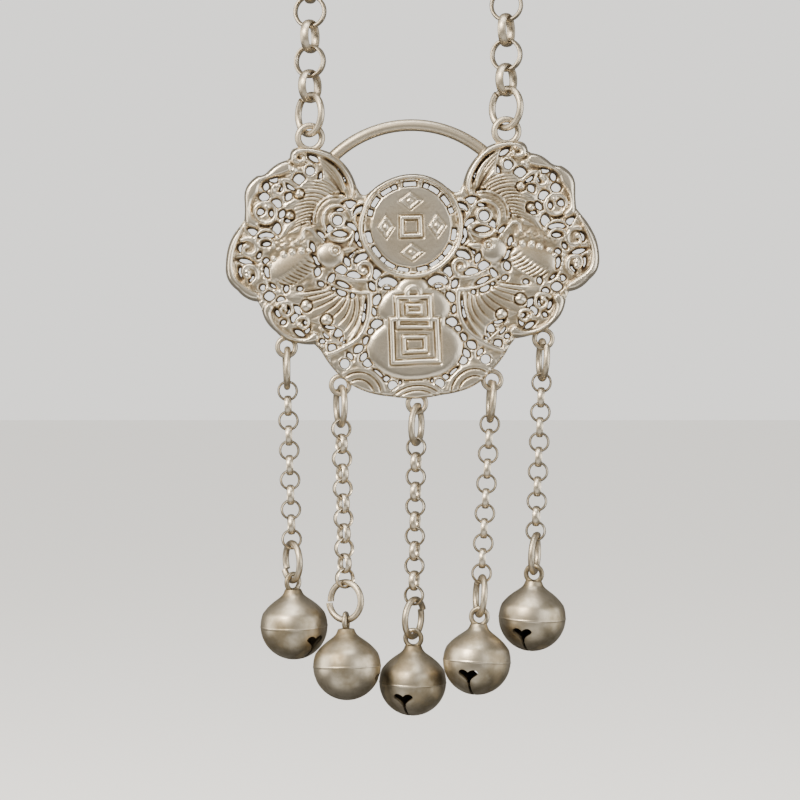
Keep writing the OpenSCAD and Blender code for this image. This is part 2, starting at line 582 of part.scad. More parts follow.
plaque();
neck_ring_left();
neck_ring_right();
neck_chain();
ring_upper_1();
ring_upper_2();
ring_upper_3();
ring_upper_4();
ring_upper_5();
drop_chain_1();
drop_chain_2();
drop_chain_3();
drop_chain_4();
drop_chain_5();
ring_lower_1();
ring_lower_2();
ring_lower_3();
ring_lower_4();
ring_lower_5();
bell_1();
bell_2();
bell_3();
bell_4();
bell_5();
pellet_1();
pellet_2();
pellet_3();
pellet_4();
pellet_5();
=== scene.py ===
"""Longevity lock pendant of pierced cast silver, with five bells and its whole neck chain."""

import math

import bpy
import numpy as np
from mathutils import Matrix, Vector


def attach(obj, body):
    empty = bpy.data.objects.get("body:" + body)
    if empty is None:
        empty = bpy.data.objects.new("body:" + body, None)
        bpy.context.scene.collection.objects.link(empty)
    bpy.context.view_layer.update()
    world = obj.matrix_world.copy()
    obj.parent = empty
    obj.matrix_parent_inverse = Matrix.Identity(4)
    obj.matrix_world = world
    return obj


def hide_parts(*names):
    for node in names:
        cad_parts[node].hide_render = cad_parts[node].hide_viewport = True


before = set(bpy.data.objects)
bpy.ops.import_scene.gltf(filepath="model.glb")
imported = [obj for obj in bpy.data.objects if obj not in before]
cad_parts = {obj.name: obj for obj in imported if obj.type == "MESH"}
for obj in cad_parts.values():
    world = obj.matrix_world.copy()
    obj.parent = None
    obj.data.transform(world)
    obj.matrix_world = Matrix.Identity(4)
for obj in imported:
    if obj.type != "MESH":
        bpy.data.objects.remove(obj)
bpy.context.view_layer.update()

bl_info = {
    "name": "Longevity lock pendant",
    "version": (1, 0, 0),
    "blender": (4, 5, 0),
    "location": "View3D > Sidebar > Pendant",
    "description": "Pierced silver plaque with bells on short chains and a neck chain",
    "category": "Object",
}

MM = 0.001

# The outline's left half, plaque millimetres. Columns: x, z, bulge of the arc to the next row.
OUTLINE = [
    (-7.6, 18.2, 0.0), (-8.3, 17.6, -0.25), (-9.8, 17.6, 0.0), (-10.6, 19.0, 0.75), (-15.4, 26.0, 0.45),
    (-21.6, 27.25, 0.75), (-23.8, 25.1, 0.0), (-24.4, 24.65, 0.35), (-28.3, 22.6, -0.25), (-30.4, 21.9, 0.75),
    (-33.0, 17.4, -0.1), (-33.3, 13.1, 0.0), (-35.1, 10.8, 0.5), (-37.3, 4.2, 0.75), (-35.2, -0.9, 0.55),
    (-31.1, -3.2, 0.0), (-30.4, -4.6, 0.6), (-27.6, -9.7, 0.55), (-23.2, -11.8, 0.1), (-20.1, -12.1, 0.0),
    (-18.9, -13.5, 0.5), (-13.4, -20.2, 0.55), (-5.2, -23.1, 0.1), (0.0, -23.75, 0.0),
]

# Gaps through the left half. Columns: x, z, length, width, turn in degrees.
GAPS = [
    (-27.1, 21.0, 1.9, 0.85, 0), (-28.8, 19.7, 1.4, 1.0, 80), (-29.2, 17.6, 1.7, 1.6, 0),
    (-25.5, 19.7, 1.7, 0.6, 75), (-23.7, 19.6, 1.8, 0.95, -35), (-24.2, 17.6, 1.5, 1.1, 60),
    (-22.1, 21.0, 2.0, 1.8, 0), (-26.7, 16.2, 1.9, 1.5, -30), (-30.1, 14.6, 1.3, 1.1, 0),
    (-27.9, 14.2, 1.0, 0.7, 90), (-25.7, 14.1, 1.5, 1.0, 60), (-24.5, 12.8, 1.1, 0.6, 10),
    (-29.0, 12.0, 1.3, 0.45, 0), (-31.7, 10.7, 2.1, 1.1, -25), (-26.9, 11.1, 2.2, 1.5, 80),
    (-29.0, 9.9, 2.9, 1.1, 0), (-19.5, 12.8, 1.5, 0.85, 80), (-18.7, 14.6, 0.9, 0.75, 60),
    (-17.1, 16.1, 1.8, 0.95, 40), (-14.6, 17.3, 1.6, 0.65, 10), (-18.05, 9.4, 1.8, 0.9, -52),
    (-19.0, 25.0, 2.2, 0.8, -30), (-19.75, 22.55, 1.65, 1.65, 0), (-17.4, 21.6, 1.8, 0.9, 60),
    (-15.9, 24.3, 1.4, 0.45, -38), (-14.6, 22.9, 1.6, 0.65, -52), (-13.3, 21.1, 1.9, 0.6, -72),
    (-12.1, 15.7, 2.5, 1.2, -5), (-10.4, 14.25, 2.3, 1.2, 38), (-14.0, 14.7, 1.4, 0.5, 15),
    (-14.6, 12.5, 1.85, 1.85, 0), (-11.7, 11.2, 2.0, 1.0, -38), (-16.25, 10.85, 1.6, 1.1, 60),
    (-14.3, 9.85, 2.6, 1.0, -5), (-19.75, 7.2, 1.6, 0.8, -75), (-10.8, 9.1, 1.8, 0.65, 88),
    (-10.35, 7.6, 1.2, 0.5, -60), (-11.3, 5.7, 1.5, 0.75, 30), (-12.1, 5.1, 0.9, 0.7, 0),
    (-10.2, 4.7, 2.7, 1.3, 25), (-18.9, 4.5, 2.4, 0.95, -45), (-13.1, 4.1, 1.7, 0.9, -65),
    (-14.3, 2.5, 2.0, 1.7, 0), (-11.8, 1.4, 2.4, 1.3, -10), (-7.05, 1.3, 2.2, 1.5, -70),
    (-18.95, 2.3, 1.6, 1.1, 75), (-16.3, 0.8, 2.2, 0.95, 58), (-14.0, -0.35, 2.4, 0.8, -25),
    (-18.4, -0.15, 1.1, 0.75, -30), (-14.3, -2.0, 1.8, 1.1, -28), (-15.9, -1.15, 0.6, 0.5, 0),
    (-12.05, -2.7, 1.0, 0.6, -80), (-8.25, -0.9, 1.6, 1.0, -60), (-5.0, -0.4, 3.5, 2.1, 0),
    (-7.4, -3.6, 2.0, 1.4, 60), (-9.85, -5.0, 1.4, 0.45, 85), (-10.05, -6.9, 1.7, 0.6, 82),
    (-8.05, -5.9, 1.5, 0.7, -70), (-7.45, -8.5, 2.0, 1.6, 15), (-8.7, -9.9, 1.1, 0.9, 40),
    (-9.85, -11.7, 1.5, 0.9, 60), (-11.4, -13.35, 1.8, 1.2, 40), (-10.4, -14.95, 1.6, 1.0, 60),
    (-12.95, -14.8, 1.3, 0.8, -60), (-14.0, -16.25, 1.85, 1.85, 0), (-9.6, -16.3, 1.6, 1.4, 0),
    (-7.5, -18.4, 1.8, 0.45, -40), (-5.9, -19.5, 1.1, 0.9, 0), (-4.7, -20.85, 1.85, 1.85, 0),
    (-3.2, -20.3, 0.6, 0.4, 80), (-17.55, -10.2, 1.6, 0.9, -62), (-15.1, -10.0, 1.9, 1.4, 35),
    (-18.5, -11.6, 0.9, 0.8, 0), (-14.4, -11.65, 1.4, 0.9, 80), (-16.5, -13.1, 1.6, 1.4, -45),
    (-16.6, -8.6, 2.2, 1.0, 0), (-23.0, -9.75, 1.9, 0.8, -28), (-21.4, -9.0, 1.4, 0.8, 70),
    (-33.8, 7.5, 1.6, 1.4, 60), (-29.0, 8.2, 1.5, 0.7, 5), (-33.3, 4.7, 2.4, 0.75, -15),
    (-30.6, 5.9, 1.0, 0.6, 60), (-29.2, 4.8, 1.1, 1.0, 0), (-29.1, 2.6, 1.9, 0.9, -75),
    (-34.3, 2.6, 1.8, 0.65, -80), (-32.1, 1.25, 1.2, 0.85, 55), (-29.9, -0.5, 1.1, 1.0, 0),
    (-28.7, -2.2, 1.9, 1.6, 0), (-26.5, -3.0, 1.3, 1.1, 0), (-25.35, -0.85, 1.1, 0.8, 80),
    (-22.6, -1.0, 0.9, 0.7, 0), (-27.9, -0.2, 1.1, 0.35, -40), (-23.0, -5.2, 2.2, 1.2, -38),
    (-25.1, -5.4, 1.1, 0.5, 85), (-27.2, -5.8, 1.4, 0.7, -65), (-26.2, -4.8, 0.8, 0.6, 0),
    (-23.9, -6.8, 1.7, 1.4, 60), (-26.2, -7.7, 0.9, 0.7, 30), (-21.6, -7.6, 0.8, 0.7, 0),
]

# Slots between the coin and its ring. Columns: angle from the top, length.
SLOTS = [(0, 2.5), (21.8, 0.9), (33.2, 2.1), (53.8, 2.0), (69, 1.1), (102, 2.2), (124, 2.2), (137, 1.0),
         (148.6, 2.1), (167, 2.0)]

# Scrolls. Columns: x, z, radius and angle at the outer end, radius and angle at the inner end, width.
SCROLLS = [
    (-26.5, 19.2, 1.75, 75, 0.55, -290, 0.8), (-29.0, 14.3, 2.1, 200, 2.05, -150, 0.8),
    (-29.1, 7.9, 1.5, 190, 1.5, 0, 0.6), (-29.0, 8.6, 2.4, 165, 2.4, 15, 0.6),
    (-32.7, 7.2, 2.2, 120, 0.7, -230, 0.85), (-32.8, 2.4, 2.1, -65, 0.6, 260, 0.85),
    (-25.7, -5.2, 1.9, 150, 0.7, -250, 0.75), (-22.2, -7.9, 1.5, 170, 0.7, -160, 0.7),
    (-9.8, 2.5, 1.9, -60, 0.5, 290, 0.9), (-5.0, -0.9, 2.4, 215, 2.4, 45, 0.5),
    (-9.9, 13.9, 1.9, 225, 1.9, 80, 0.6), (-10.0, 12.6, 1.3, 200, 1.3, 90, 0.5),
    (-10.0, 4.0, 2.1, 190, 2.1, 40, 0.6), (-5.1, -2.1, 1.3, 170, 1.3, 20, 0.5),
    (-21.5, 25.2, 1.75, 60, 0.6, 430, 0.9), (-14.6, 12.4, 4.9, 185, 4.9, 78, 0.6),
    (-14.6, 12.4, 3.0, 215, 3.0, 20, 0.6), (-14.3, 11.2, 3.0, 215, 3.0, 330, 0.55),
]

# Plain rings. Columns: x, z, outer radius, inner radius.
EYELETS = [(-19.75, 22.55, 1.6, 0.85), (-14.6, 12.5, 1.85, 0.92), (-14.0, -16.25, 1.5, 0.92),
           (-4.7, -20.85, 1.45, 0.92)]

# Guide ribs of the upper wing and the lower wing. Columns: start, bend, end.
UPPER_RIBS = [
    ((-13.2, 17.1), (-14.2, 22.6), (-18.6, 25.2)), ((-13.4, 17.1), (-14.9, 20.9), (-17.9, 23.7)),
    ((-13.9, 17.8), (-15.4, 20.6), (-17.3, 21.9)), ((-14.8, 18.2), (-17.2, 20.6), (-21.6, 20.1)),
    ((-15.3, 17.2), (-17.8, 19.4), (-22.0, 18.8)), ((-17.4, 16.5), (-20.2, 18.4), (-24.9, 15.6)),
    ((-18.6, 15.3), (-20.9, 16.6), (-24.0, 14.8)), ((-19.0, 14.5), (-20.9, 14.9), (-23.2, 13.4)),
    ((-19.8, 13.2), (-22.3, 13.4), (-24.8, 10.8)), ((-20.6, 12.0), (-23.2, 11.8), (-25.9, 9.0)),
]
LOWER_RIBS = [
    ((-10.9, -3.2), (-9.9, -7.4), (-14.3, -11.6)), ((-11.7, -3.4), (-11.2, -7.2), (-15.0, -10.6)),
    ((-12.5, -3.4), (-12.6, -6.6), (-16.4, -9.2)), ((-13.3, -3.2), (-14.3, -6.2), (-19.2, -8.3)),
    ((-14.2, -3.0), (-16.4, -5.8), (-20.9, -7.1)), ((-15.2, -2.6), (-17.6, -4.6), (-22.0, -5.6)),
    ((-16.0, -2.1), (-18.4, -3.4), (-24.0, -4.4)), ((-16.6, -1.6), (-19.2, -2.6), (-25.2, -3.0)),
    ((-17.5, -1.0), (-20.5, -1.8), (-25.6, -1.9)),
]

# The edges of the two wings, points round each.
WINGS = [
    [(-13.2, 17.7), (-12.9, 19.5), (-13.4, 21.3), (-14.6, 23.2), (-16.4, 24.7), (-18.6, 25.7), (-18.1, 24.4),
     (-17.5, 22.9), (-17.4, 21.0), (-19.0, 20.7), (-20.6, 20.9), (-21.7, 20.3), (-22.2, 19.2), (-21.9, 17.3),
     (-23.4, 16.9), (-24.7, 16.3), (-25.5, 15.2), (-24.7, 14.7), (-23.2, 14.9), (-23.0, 12.8), (-24.2, 12.4),
     (-25.2, 11.9), (-26.0, 10.1), (-26.5, 8.8), (-24.6, 9.8), (-22.3, 10.3), (-21.8, 11.9), (-20.1, 11.6),
     (-19.7, 13.3), (-19.2, 14.6), (-18.0, 16.2), (-16.5, 17.2), (-15.0, 17.7)],
    [(-10.3, -3.2), (-10.3, -6.5), (-11.1, -9.2), (-12.7, -11.3), (-14.6, -12.0), (-14.3, -10.8),
     (-14.7, -9.7), (-16.1, -8.8), (-18.9, -8.2), (-20.6, -7.6), (-21.7, -6.6), (-22.7, -5.8),
     (-22.8, -4.4), (-24.2, -3.9),
     (-25.5, -3.2), (-25.9, -2.0), (-24.5, -1.4), (-22.0, -1.5), (-19.5, -1.5), (-17.0, -1.3), (-16.0, -2.2),
     (-13.9, -2.9), (-12.2, -3.2), (-11.3, -2.6)],
]

# Plain bands. Columns: start, bend, end, width.
BANDS = [
    ((-8.9, -2.3), (-7.6, -12.0), (-17.6, -14.4), 1.3), ((-15.5, 2.2), (-12.4, 0.0), (-8.6, 0.4), 0.9),
    ((-16.9, 0.0), (-13.0, -2.3), (-9.2, -2.2), 0.85), ((-10.0, -2.9), (-9.9, -8.2), (-13.2, -11.8), 0.7),
    ((-21.8, 9.0), (-21.7, 11.8), (-19.7, 10.4), 0.85), ((-20.2, 10.8), (-19.0, 9.6), (-17.7, 8.2), 1.0),
    ((-12.7, 11.0), (-10.2, 10.4), (-12.4, 7.3), 0.8), ((-17.4, 9.0), (-15.0, 11.4), (-12.4, 10.8), 0.7),
    ((-13.2, 15.8), (-12.0, 13.2), (-10.2, 10.4), 0.75), ((-18.6, -8.9), (-16.2, -11.4), (-13.8, -12.8), 0.8),
    ((-25.3, 20.9), (-22.7, 20.5), (-22.1, 18.3), 1.3),
    ((-33.5, 11.7), (-32.2, 10.2), (-31.2, 8.6), 0.7),
]

# Domed beads. Columns: x, z, radius, height over the web, ring groove 1 or 0.
BEADS = [
    (-24.1, 13.7, 0.85, 1.15, 1), (-23.2, 22.7, 1.0, 1.0, 0), (-27.5, 5.2, 0.6, 1.1, 0),
    (-25.5, 5.9, 0.75, 1.25, 0), (-23.9, 6.35, 0.75, 1.3, 0), (-22.1, 6.5, 0.75, 1.3, 0),
    (-20.4, 6.45, 0.7, 1.25, 0), (-28.6, 4.1, 0.7, 1.1, 0), (-21.3, -4.4, 1.0, 1.15, 1),
    (-17.5, -7.4, 0.95, 1.15, 1), (-33.0, 2.6, 0.75, 1.2, 0), (-22.2, 18.0, 0.8, 1.15, 1),
    (-28.8, 15.5, 0.75, 1.1, 0), (-26.6, 19.4, 0.7, 1.2, 0),
    (-25.6, -5.2, 0.5, 1.1, 0), (-30.3, 4.9, 0.4, 0.9, 0), (-30.2, 4.0, 0.4, 0.9, 0),
    (-30.0, 3.1, 0.4, 0.9, 0), (-29.8, 2.2, 0.4, 0.9, 0), (-29.5, 1.3, 0.4, 0.9, 0),
    (-29.0, -0.6, 0.6, 0.8, 0), (-27.6, -1.3, 0.55, 0.8, 0), (-18.5, -12.6, 0.7, 1.4, 0),
]

# Smooth domes of the bats. Columns: x, z, length, width, turn, height.
DOMES = [
    (-24.0, 3.2, 9.8, 6.4, 14, 1.25), (-16.3, 5.5, 5.5, 5.3, -20, 1.6), (-12.9, 6.35, 3.8, 1.3, 3, 1.05),
    (-16.6, 3.1, 2.6, 1.8, -60, 0.9),
    (-23.5, 16.3, 4.0, 1.3, 26, 0.95), (-24.9, 10.9, 4.2, 1.1, 52, 0.95), (-23.6, -2.7, 3.8, 1.5, -2, 0.95),
]

# Crescents of the rim, each a row of x, z and half width along its middle.
CRESCENTS = [
    [(-11.9, 16.9, 0.45), (-11.6, 18.3, 0.7), (-11.8, 20.2, 0.95), (-12.8, 22.4, 1.0), (-14.4, 24.5, 1.0),
     (-16.9, 26.0, 0.95), (-19.6, 26.7, 0.8), (-21.6, 26.5, 0.85), (-22.8, 25.8, 0.95), (-23.0, 25.0, 0.95),
     (-22.3, 24.3, 0.8), (-21.3, 24.4, 0.65), (-20.9, 25.1, 0.55)],
    [(-24.6, 23.3, 1.35), (-25.7, 23.1, 1.5), (-26.9, 22.6, 1.3), (-28.2, 22.0, 1.0), (-29.5, 21.4, 0.95),
     (-30.7, 20.4, 1.2), (-31.5, 19.0, 1.5), (-32.2, 17.3, 1.15), (-32.5, 15.6, 0.9), (-32.5, 14.0, 0.95),
     (-32.1, 12.9, 1.05), (-31.2, 12.2, 1.0)],
    [(-33.9, 11.6, 0.45), (-35.3, 8.9, 0.85), (-36.1, 6.5, 0.9), (-36.5, 4.2, 0.95), (-36.2, 2.0, 1.05),
     (-35.4, 0.3, 1.25), (-34.1, -1.1, 1.5), (-32.7, -2.0, 1.5), (-31.5, -2.3, 1.15)],
    [(-28.9, -4.5, 1.15), (-29.4, -5.6, 1.15), (-29.1, -7.0, 1.1), (-28.3, -8.7, 1.15), (-27.1, -10.1, 1.25),
     (-25.3, -11.0, 1.1), (-23.4, -11.5, 0.9), (-21.6, -11.4, 0.95), (-20.0, -10.7, 1.2)],
]

# Fret bars on the gourd, right half. Columns: x, z, width, height.
FRET = [
    (0, -3.4, 7.4, 1.0), (0, -9.4, 7.4, 0.9), (0, -7.9, 9.8, 0.9), (0, -16.3, 9.8, 1.0),
    (3.3, -6.4, 0.9, 6.8), (4.5, -12.1, 0.95, 9.2), (0, -5.0, 3.6, 0.8), (0, -6.6, 3.6, 0.8),
    (1.5, -5.8, 0.7, 2.2),
    (0, -11.4, 5.0, 0.85), (0, -14.3, 5.0, 0.85), (2.2, -12.85, 0.85, 3.6),
]

# Bellies and neck of the gourd. Columns: z, half width, half height.
BELLIES = [(-5.5, 7.4, 4.7), (-13.6, 9.95, 6.5), (-1.8, 3.4, 2.7)]
WAIST = (-8.8, 6.4, 1.7)

# Scale waves. Columns: x, z, radius, radii of the fine lines, the first x and the last x.
WAVES = [(-11.6, -22.6, 5.75, (4.5, 3.1), -16.6, -5.4), (0.0, -28.1, 8.2, (7.0, 6.0), -5.2, 0.1)]

# The bell's shoulder, outside and inside, as radius and height, and degrees near its seam.
SHOULDER_OUT = [(5.85, 3.1), (5.3, 3.75), (4.65, 4.35), (3.95, 4.92), (3.2, 5.45), (2.6, 5.88), (2.15, 6.3),
                (1.88, 6.75), (1.74, 7.15), (1.6, 7.4), (1.2, 7.52), (0.0, 7.54)]
SHOULDER_IN = [(5.3, 2.85), (4.5, 3.65), (3.6, 4.35), (2.6, 5.1), (1.7, 5.6), (0.0, 5.8)]
NEAR_SEAM = [-2.6, -1.8, -1.2, -0.6, 0.0, 0.6, 1.2, 1.8, 2.6]

# Half of the heart cut in a bell, from its notch to its point.
HEART = [(0.0, 0.72), (0.35, 1.02), (0.8, 1.2), (1.3, 1.2), (1.75, 0.95), (2.02, 0.5), (1.85, 0.1),
         (1.35, -0.22), (0.8, -0.62), (0.42, -1.1), (0.3, -1.7)]

# The five strands. Columns: x, z of the eye, lean right, lean back, turns of the upper ring,
# of the chain at its top and foot, of the lower ring and of the bell, in degrees.
STRANDS = [
    (-25.7, -12.5, 1.46, 2.65, 2, 0, 7, 26, 44),
    (-15.2, -20.45, 1.44, -2.65, 12, 20, 30, 56, 80),
    (0, -24.6, -0.83, 2.65, -18, -16, -16, -28, -18),
    (15.2, -20.45, -3.2, -2.65, 2, 0, -2, 9, -17),
    (25.7, -12.5, -2.15, 2.65, 7, 0, -8, -15, -21),
]

# The same sizes as the source, in millimetres. Pairs are a ring's outer radius and its wire, triples
# a link's outer radius, its band's thickness and its band's width.
WEB_TOP = 0.65
HIGH = 2.15
EYE_X = 19.65
EYE_Z = 29.2
CLEAR = 0.13
TURN_CLEAR = 0.15
LINK_CLEAR = 0.18
NECK_CLEAR = 0.27
EYE_FLAT = math.cos(math.radians(15))
TOP_EYE = (2.95, 1.2)
LOW_EYE = (2.2, 0.9)
NECK_RING = (4.5, 1.3)
DROP_RING = (4.3, 1.2)
NECK_LINK = (3.3, 0.68, 1.8)
DROP_LINK = (2.0, 0.42, 1.35)
DROP_LINKS = 11
HANDLE_R = 22.5
HANDLE_BAR = 1.2
HANDLE_Z = 8.7
HANDLE_REACH = 49
HANDLE_SUNK = 0.35
NECK_RISE = 24.0
NECK_HALF = 64.0
SIDE_BACK = 78
SIDE_UP = 136
NAPE_UP = 24
NAPE_DEEP = 0.95
BELL_R = 6.75
BELL_WALL = 0.6
LOOP_IN = 1.15
LOOP_WIRE = 1.0
LOOP_Z = BELL_R + 2.05
BALL_R = 1.6
BALL_CLEAR = 0.2
LEAN = math.radians(1.85)

# How far the neck chain's curves are pulled: up at the bend, down and up at the side, out at the nape.
BEND_PULL = 50
SIDE_PULL_LOW = (0.98, 56, 36)
SIDE_PULL_HIGH = (34, 21.6)
NAPE_PULL = 0.56

# Its links turn outwards over a length above the bend, in millimetres, and the first few turn in the hand.
TWIST_AFTER = 10
TWIST_OVER = 110
FOOT_TURN = 30.0
FOOT_LINKS = 6

# What cuts a bell, in millimetres: the slit's width, length and height, the hearts' turn down in
# degrees, and where they start and end, seen from the bell's middle.
SLIT = (0.5, 16, 6)
HEART_TILT = 24
HEART_NEAR = 3.5
HEART_FAR = 9

# The size of a bell's inner wall against its outer one, and how near to the bell's middle
# a face or a point belongs to the inside.
INNER_SHARE = 0.91
INSIDE_FACE = 6.23
# Points nearer than this are painted dark as shade.
INSIDE_POINT = 6.2

# Millimetres that the visible wire is thicker than the source's. Its holes stay as wide as they are.
EYE_MORE = 0.09
RING_MORE = 0.1
DROP_MORE = 0.1
NECK_MORE = 0.12

# How rubbed each piece is, from tarnished at 0 to bright at 1.
WEAR_BACK = 0.5
WEAR_EYES = 0.62
WEAR_NECK_CHAIN = 0.66
WEAR_NECK_RING = 0.64
WEAR_DROP_RING = 0.6
WEAR_DROP_CHAIN = 0.78
WEAR_BELL = 0.62
# The bells' inside is not rubbed: it is painted dark as shade.
INSIDE_PAINTED_SHADE = 0.1

# The relief's main forms, in plaque millimetres. Pairs are a place, or a line's radius and half width.
COIN_Z = 10.65
COIN_R = 8.25
FRAME_Z = 10.7
SLOT_R = 8.68
SLOT_HALF = 0.44
HOOP_Z = 10.75
HOOP_IN = 9.05
HOOP_OUT = 10.55
HOOP_CREST = (10.02, 0.56)
HOOP_LINE = (9.28, 0.24)
FOOT_Z = -12.6
MOON = (-14.6, 12.4)
MOON_R = 4.0
BAT_EYE = (-15.3, 6.45)
DEEPEST = -0.4
HIGHEST = 3.2

# The grid that the relief is carved in: its size and middle in millimetres, its back's block in cells,
# and the two widths in millimetres over which a ridge stands out and is rubbed.
GRID_WIDE = 76.0
GRID_TALL = 53.0
GRID_Z = 2.0
BLOCK = 8
LOCAL_WEAR = 0.55
BROAD_WEAR = 1.6

# Metres within which points are merged.
MERGE = 0.0000005

# What the lights and the camera face, how wide the camera sees at the plaque, and the floor, in metres.
# The camera's sensor is in millimetres.
AIM = (0, -0.139, -0.235)
VIEW_MIDDLE = Vector((-1.63 * MM, 0, -53.1 * MM))
VIEW_SPAN = 0.16
SENSOR = 36
FLOOR_SIZE = 40
FLOOR_Z = -0.4

# Soft boxes. Columns: name, place, size, power, tint.
LIGHTS = [
    ("key_light", (-0.55, -0.8, 0.3), (0.3, 0.3), 17, "FFF6E8"),
    ("fill_light", (0.65, -0.8, -0.1), (0.6, 0.8), 4, "FFFFFF"),
    ("top_light", (-0.1, -0.35, 0.6), (0.6, 0.35), 6, "FFFFFF"),
    ("low_light", (-0.1, -0.7, -0.95), (1.4, 0.7), 4, "FFFFFF"),
    ("front_light", (0.15, -2.4, 0.45), (1.6, 1.4), 1.8, "FFFFFF"),
    ("left_light", (-0.95, -0.25, -0.1), (0.6, 0.9), 7, "FFFAF2"),
    ("right_light", (0.95, -0.3, -0.25), (0.5, 0.8), 6, "FFFFFF"),
]

# The pale room's colour, and its strength as the camera, the lit surfaces and the mirrored rays see it.
ROOM = "DEDCD8"
ROOM_SEEN = 1.95
ROOM_LIGHT = 2.4
ROOM_MIRRORED = 0.3


def eye_at(x, z):
    """Where a point of the leaning plaque lies, from the middle of the two upper eyes."""
    z -= EYE_Z
    return (x * math.cos(LEAN) - z * math.sin(LEAN), x * math.sin(LEAN) + z * math.cos(LEAN))


TOP_HOLE = TOP_EYE[0] - TOP_EYE[1]
LOW_HOLE = LOW_EYE[0] - LOW_EYE[1]
NECK_IN = NECK_RING[0] - NECK_RING[1]
DROP_IN = DROP_RING[0] - DROP_RING[1]
NECK_LINK_IN = NECK_LINK[0] - NECK_LINK[1]
DROP_LINK_IN = DROP_LINK[0] - DROP_LINK[1]
RING_UP = TOP_HOLE * EYE_FLAT - CLEAR - TURN_CLEAR + NECK_IN
LINK_UP = RING_UP + NECK_IN - CLEAR + NECK_LINK_IN
EYE_RIGHT = eye_at(EYE_X, EYE_Z)
EYE_LEFT = eye_at(-EYE_X, EYE_Z)
BEND = max(EYE_RIGHT[1], EYE_LEFT[1]) + LINK_UP + NECK_RISE
SIDE = Vector((NECK_HALF, SIDE_BACK, BEND + SIDE_UP))
NAPE = Vector((0, SIDE.y + NECK_HALF * NAPE_DEEP, SIDE.z + NAPE_UP))
RING_A = LOW_HOLE * EYE_FLAT - CLEAR + DROP_IN
LINK_A = RING_A + DROP_IN - CLEAR + DROP_LINK_IN
DROP_PITCH = 2 * DROP_LINK_IN - LINK_CLEAR
LINK_Z = LINK_A + (DROP_LINKS - 1) * DROP_PITCH
RING_Z = LINK_Z + DROP_LINK_IN - CLEAR + DROP_IN
BELL_Z = RING_Z + DROP_IN - CLEAR + LOOP_IN + LOOP_Z

ON_PLAQUE = (
    Matrix.Translation(-NAPE * MM)
    @ Matrix.Rotation(-LEAN, 4, "Y")
    @ Matrix.Translation((0, 0, -EYE_Z * MM))
)


def turn(axis, degrees):
    """A turn about an axis, as a matrix."""
    return Matrix.Rotation(math.radians(degrees), 4, axis)


def down(i, s):
    """The place s millimetres down strand i, as a matrix in metres."""
    x, z, right, back = STRANDS[i][:4]
    at = eye_at(x, z)
    return (
        Matrix.Translation((Vector((at[0], 0, at[1])) - NAPE) * MM)
        @ turn("Y", -right)
        @ turn("X", back)
        @ Matrix.Translation((0, 0, -s * MM))
    )


def linear(hexcode):
    """An sRGB hex value as linear RGBA."""
    value = [int(hexcode[i:i + 2], 16) / 255 for i in (0, 2, 4)]
    return tuple(v / 12.92 if v <= 0.04045 else ((v + 0.055) / 1.055) ** 2.4 for v in value) + (1.0,)


def clear_selection():
    """Goes to object mode with nothing selected."""
    if bpy.context.object and bpy.context.object.mode != "OBJECT":
        bpy.ops.object.mode_set(mode="OBJECT")
    bpy.ops.object.select_all(action="DESELECT")


def select_only(*objects):
    """Selects these objects alone, with the first one active."""
    clear_selection()
    for obj in objects:
        obj.select_set(True)
    bpy.context.view_layer.objects.active = objects[0]


def new_object(name, data):
    """A new object in the scene's own collection."""
    obj = bpy.data.objects.new(name, data)
    bpy.context.scene.collection.objects.link(obj)
    return obj


def apply_place(obj, matrix=None):
    """Moves an object's place into its mesh, before an optional matrix."""
    bpy.context.view_layer.update()
    obj.data.transform((matrix or Matrix.Identity(4)) @ obj.matrix_world)
    obj.matrix_world = Matrix.Identity(4)
    obj.data.update()


def added(name):
    """The active object, under a name of its own."""
    obj = bpy.context.object
    obj.name = name
    obj.data.name = name
    return obj


def joined(objects, name):
    """One object made of several."""
    select_only(*objects)
    if len(objects) > 1:
        bpy.ops.object.join()
    return added(name)


def copies(template, places, name):
    """One object made of a copy of the template at each place."""
    made = []
    for matrix in places:
        other = template.copy()
        other.data = template.data.copy()
        bpy.context.scene.collection.objects.link(other)
        other.data.transform(matrix)
        made.append(other)
    return joined(made, name)


def remove(obj):
    """Deletes an object with its mesh."""
    data = obj.data
    bpy.data.objects.remove(obj)
    bpy.data.meshes.remove(data)


def set_wear_and_painted_light(obj, level):
    """Gives each point of a mesh its wear, and on the bells a painted shade inside and a painted highlight on
    the seam: one level for all, or a row of levels.
    """
    values = np.zeros(len(obj.data.vertices)) + level
    layer = obj.data.attributes.get("wear_and_painted_light") or obj.data.attributes.new("wear_and_painted_light", "FLOAT", "POINT")
    layer.data.foreach_set("value", values)


def dress(obj, finish, nodes, smooth=40):
    """Gives a finished piece its material and body, and hides the CAD nodes that it stands for."""
    obj.data.materials.clear()
    obj.data.materials.append(finish)
    select_only(obj)
    bpy.ops.object.shade_smooth_by_angle(angle=math.radians(smooth))
    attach(obj, "root")
    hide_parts(*nodes)


def add(tree, kind, settings=None, links=None):
    """Adds one node with its settings, its input values and its links."""
    node = tree.nodes.new(kind)
    for key, value in (settings or {}).items():
        if isinstance(key, int) or key in node.inputs:
            node.inputs[key].default_value = value
        else:
            setattr(node, key, value)
    for key, source in (links or {}).items():
        tree.links.new(source, node.inputs[key])
    return node


# Millimetres: how wide the clouds of tarnish are, and how deep the pits of the grain.
CLOUD = 6
PIT = 0.05


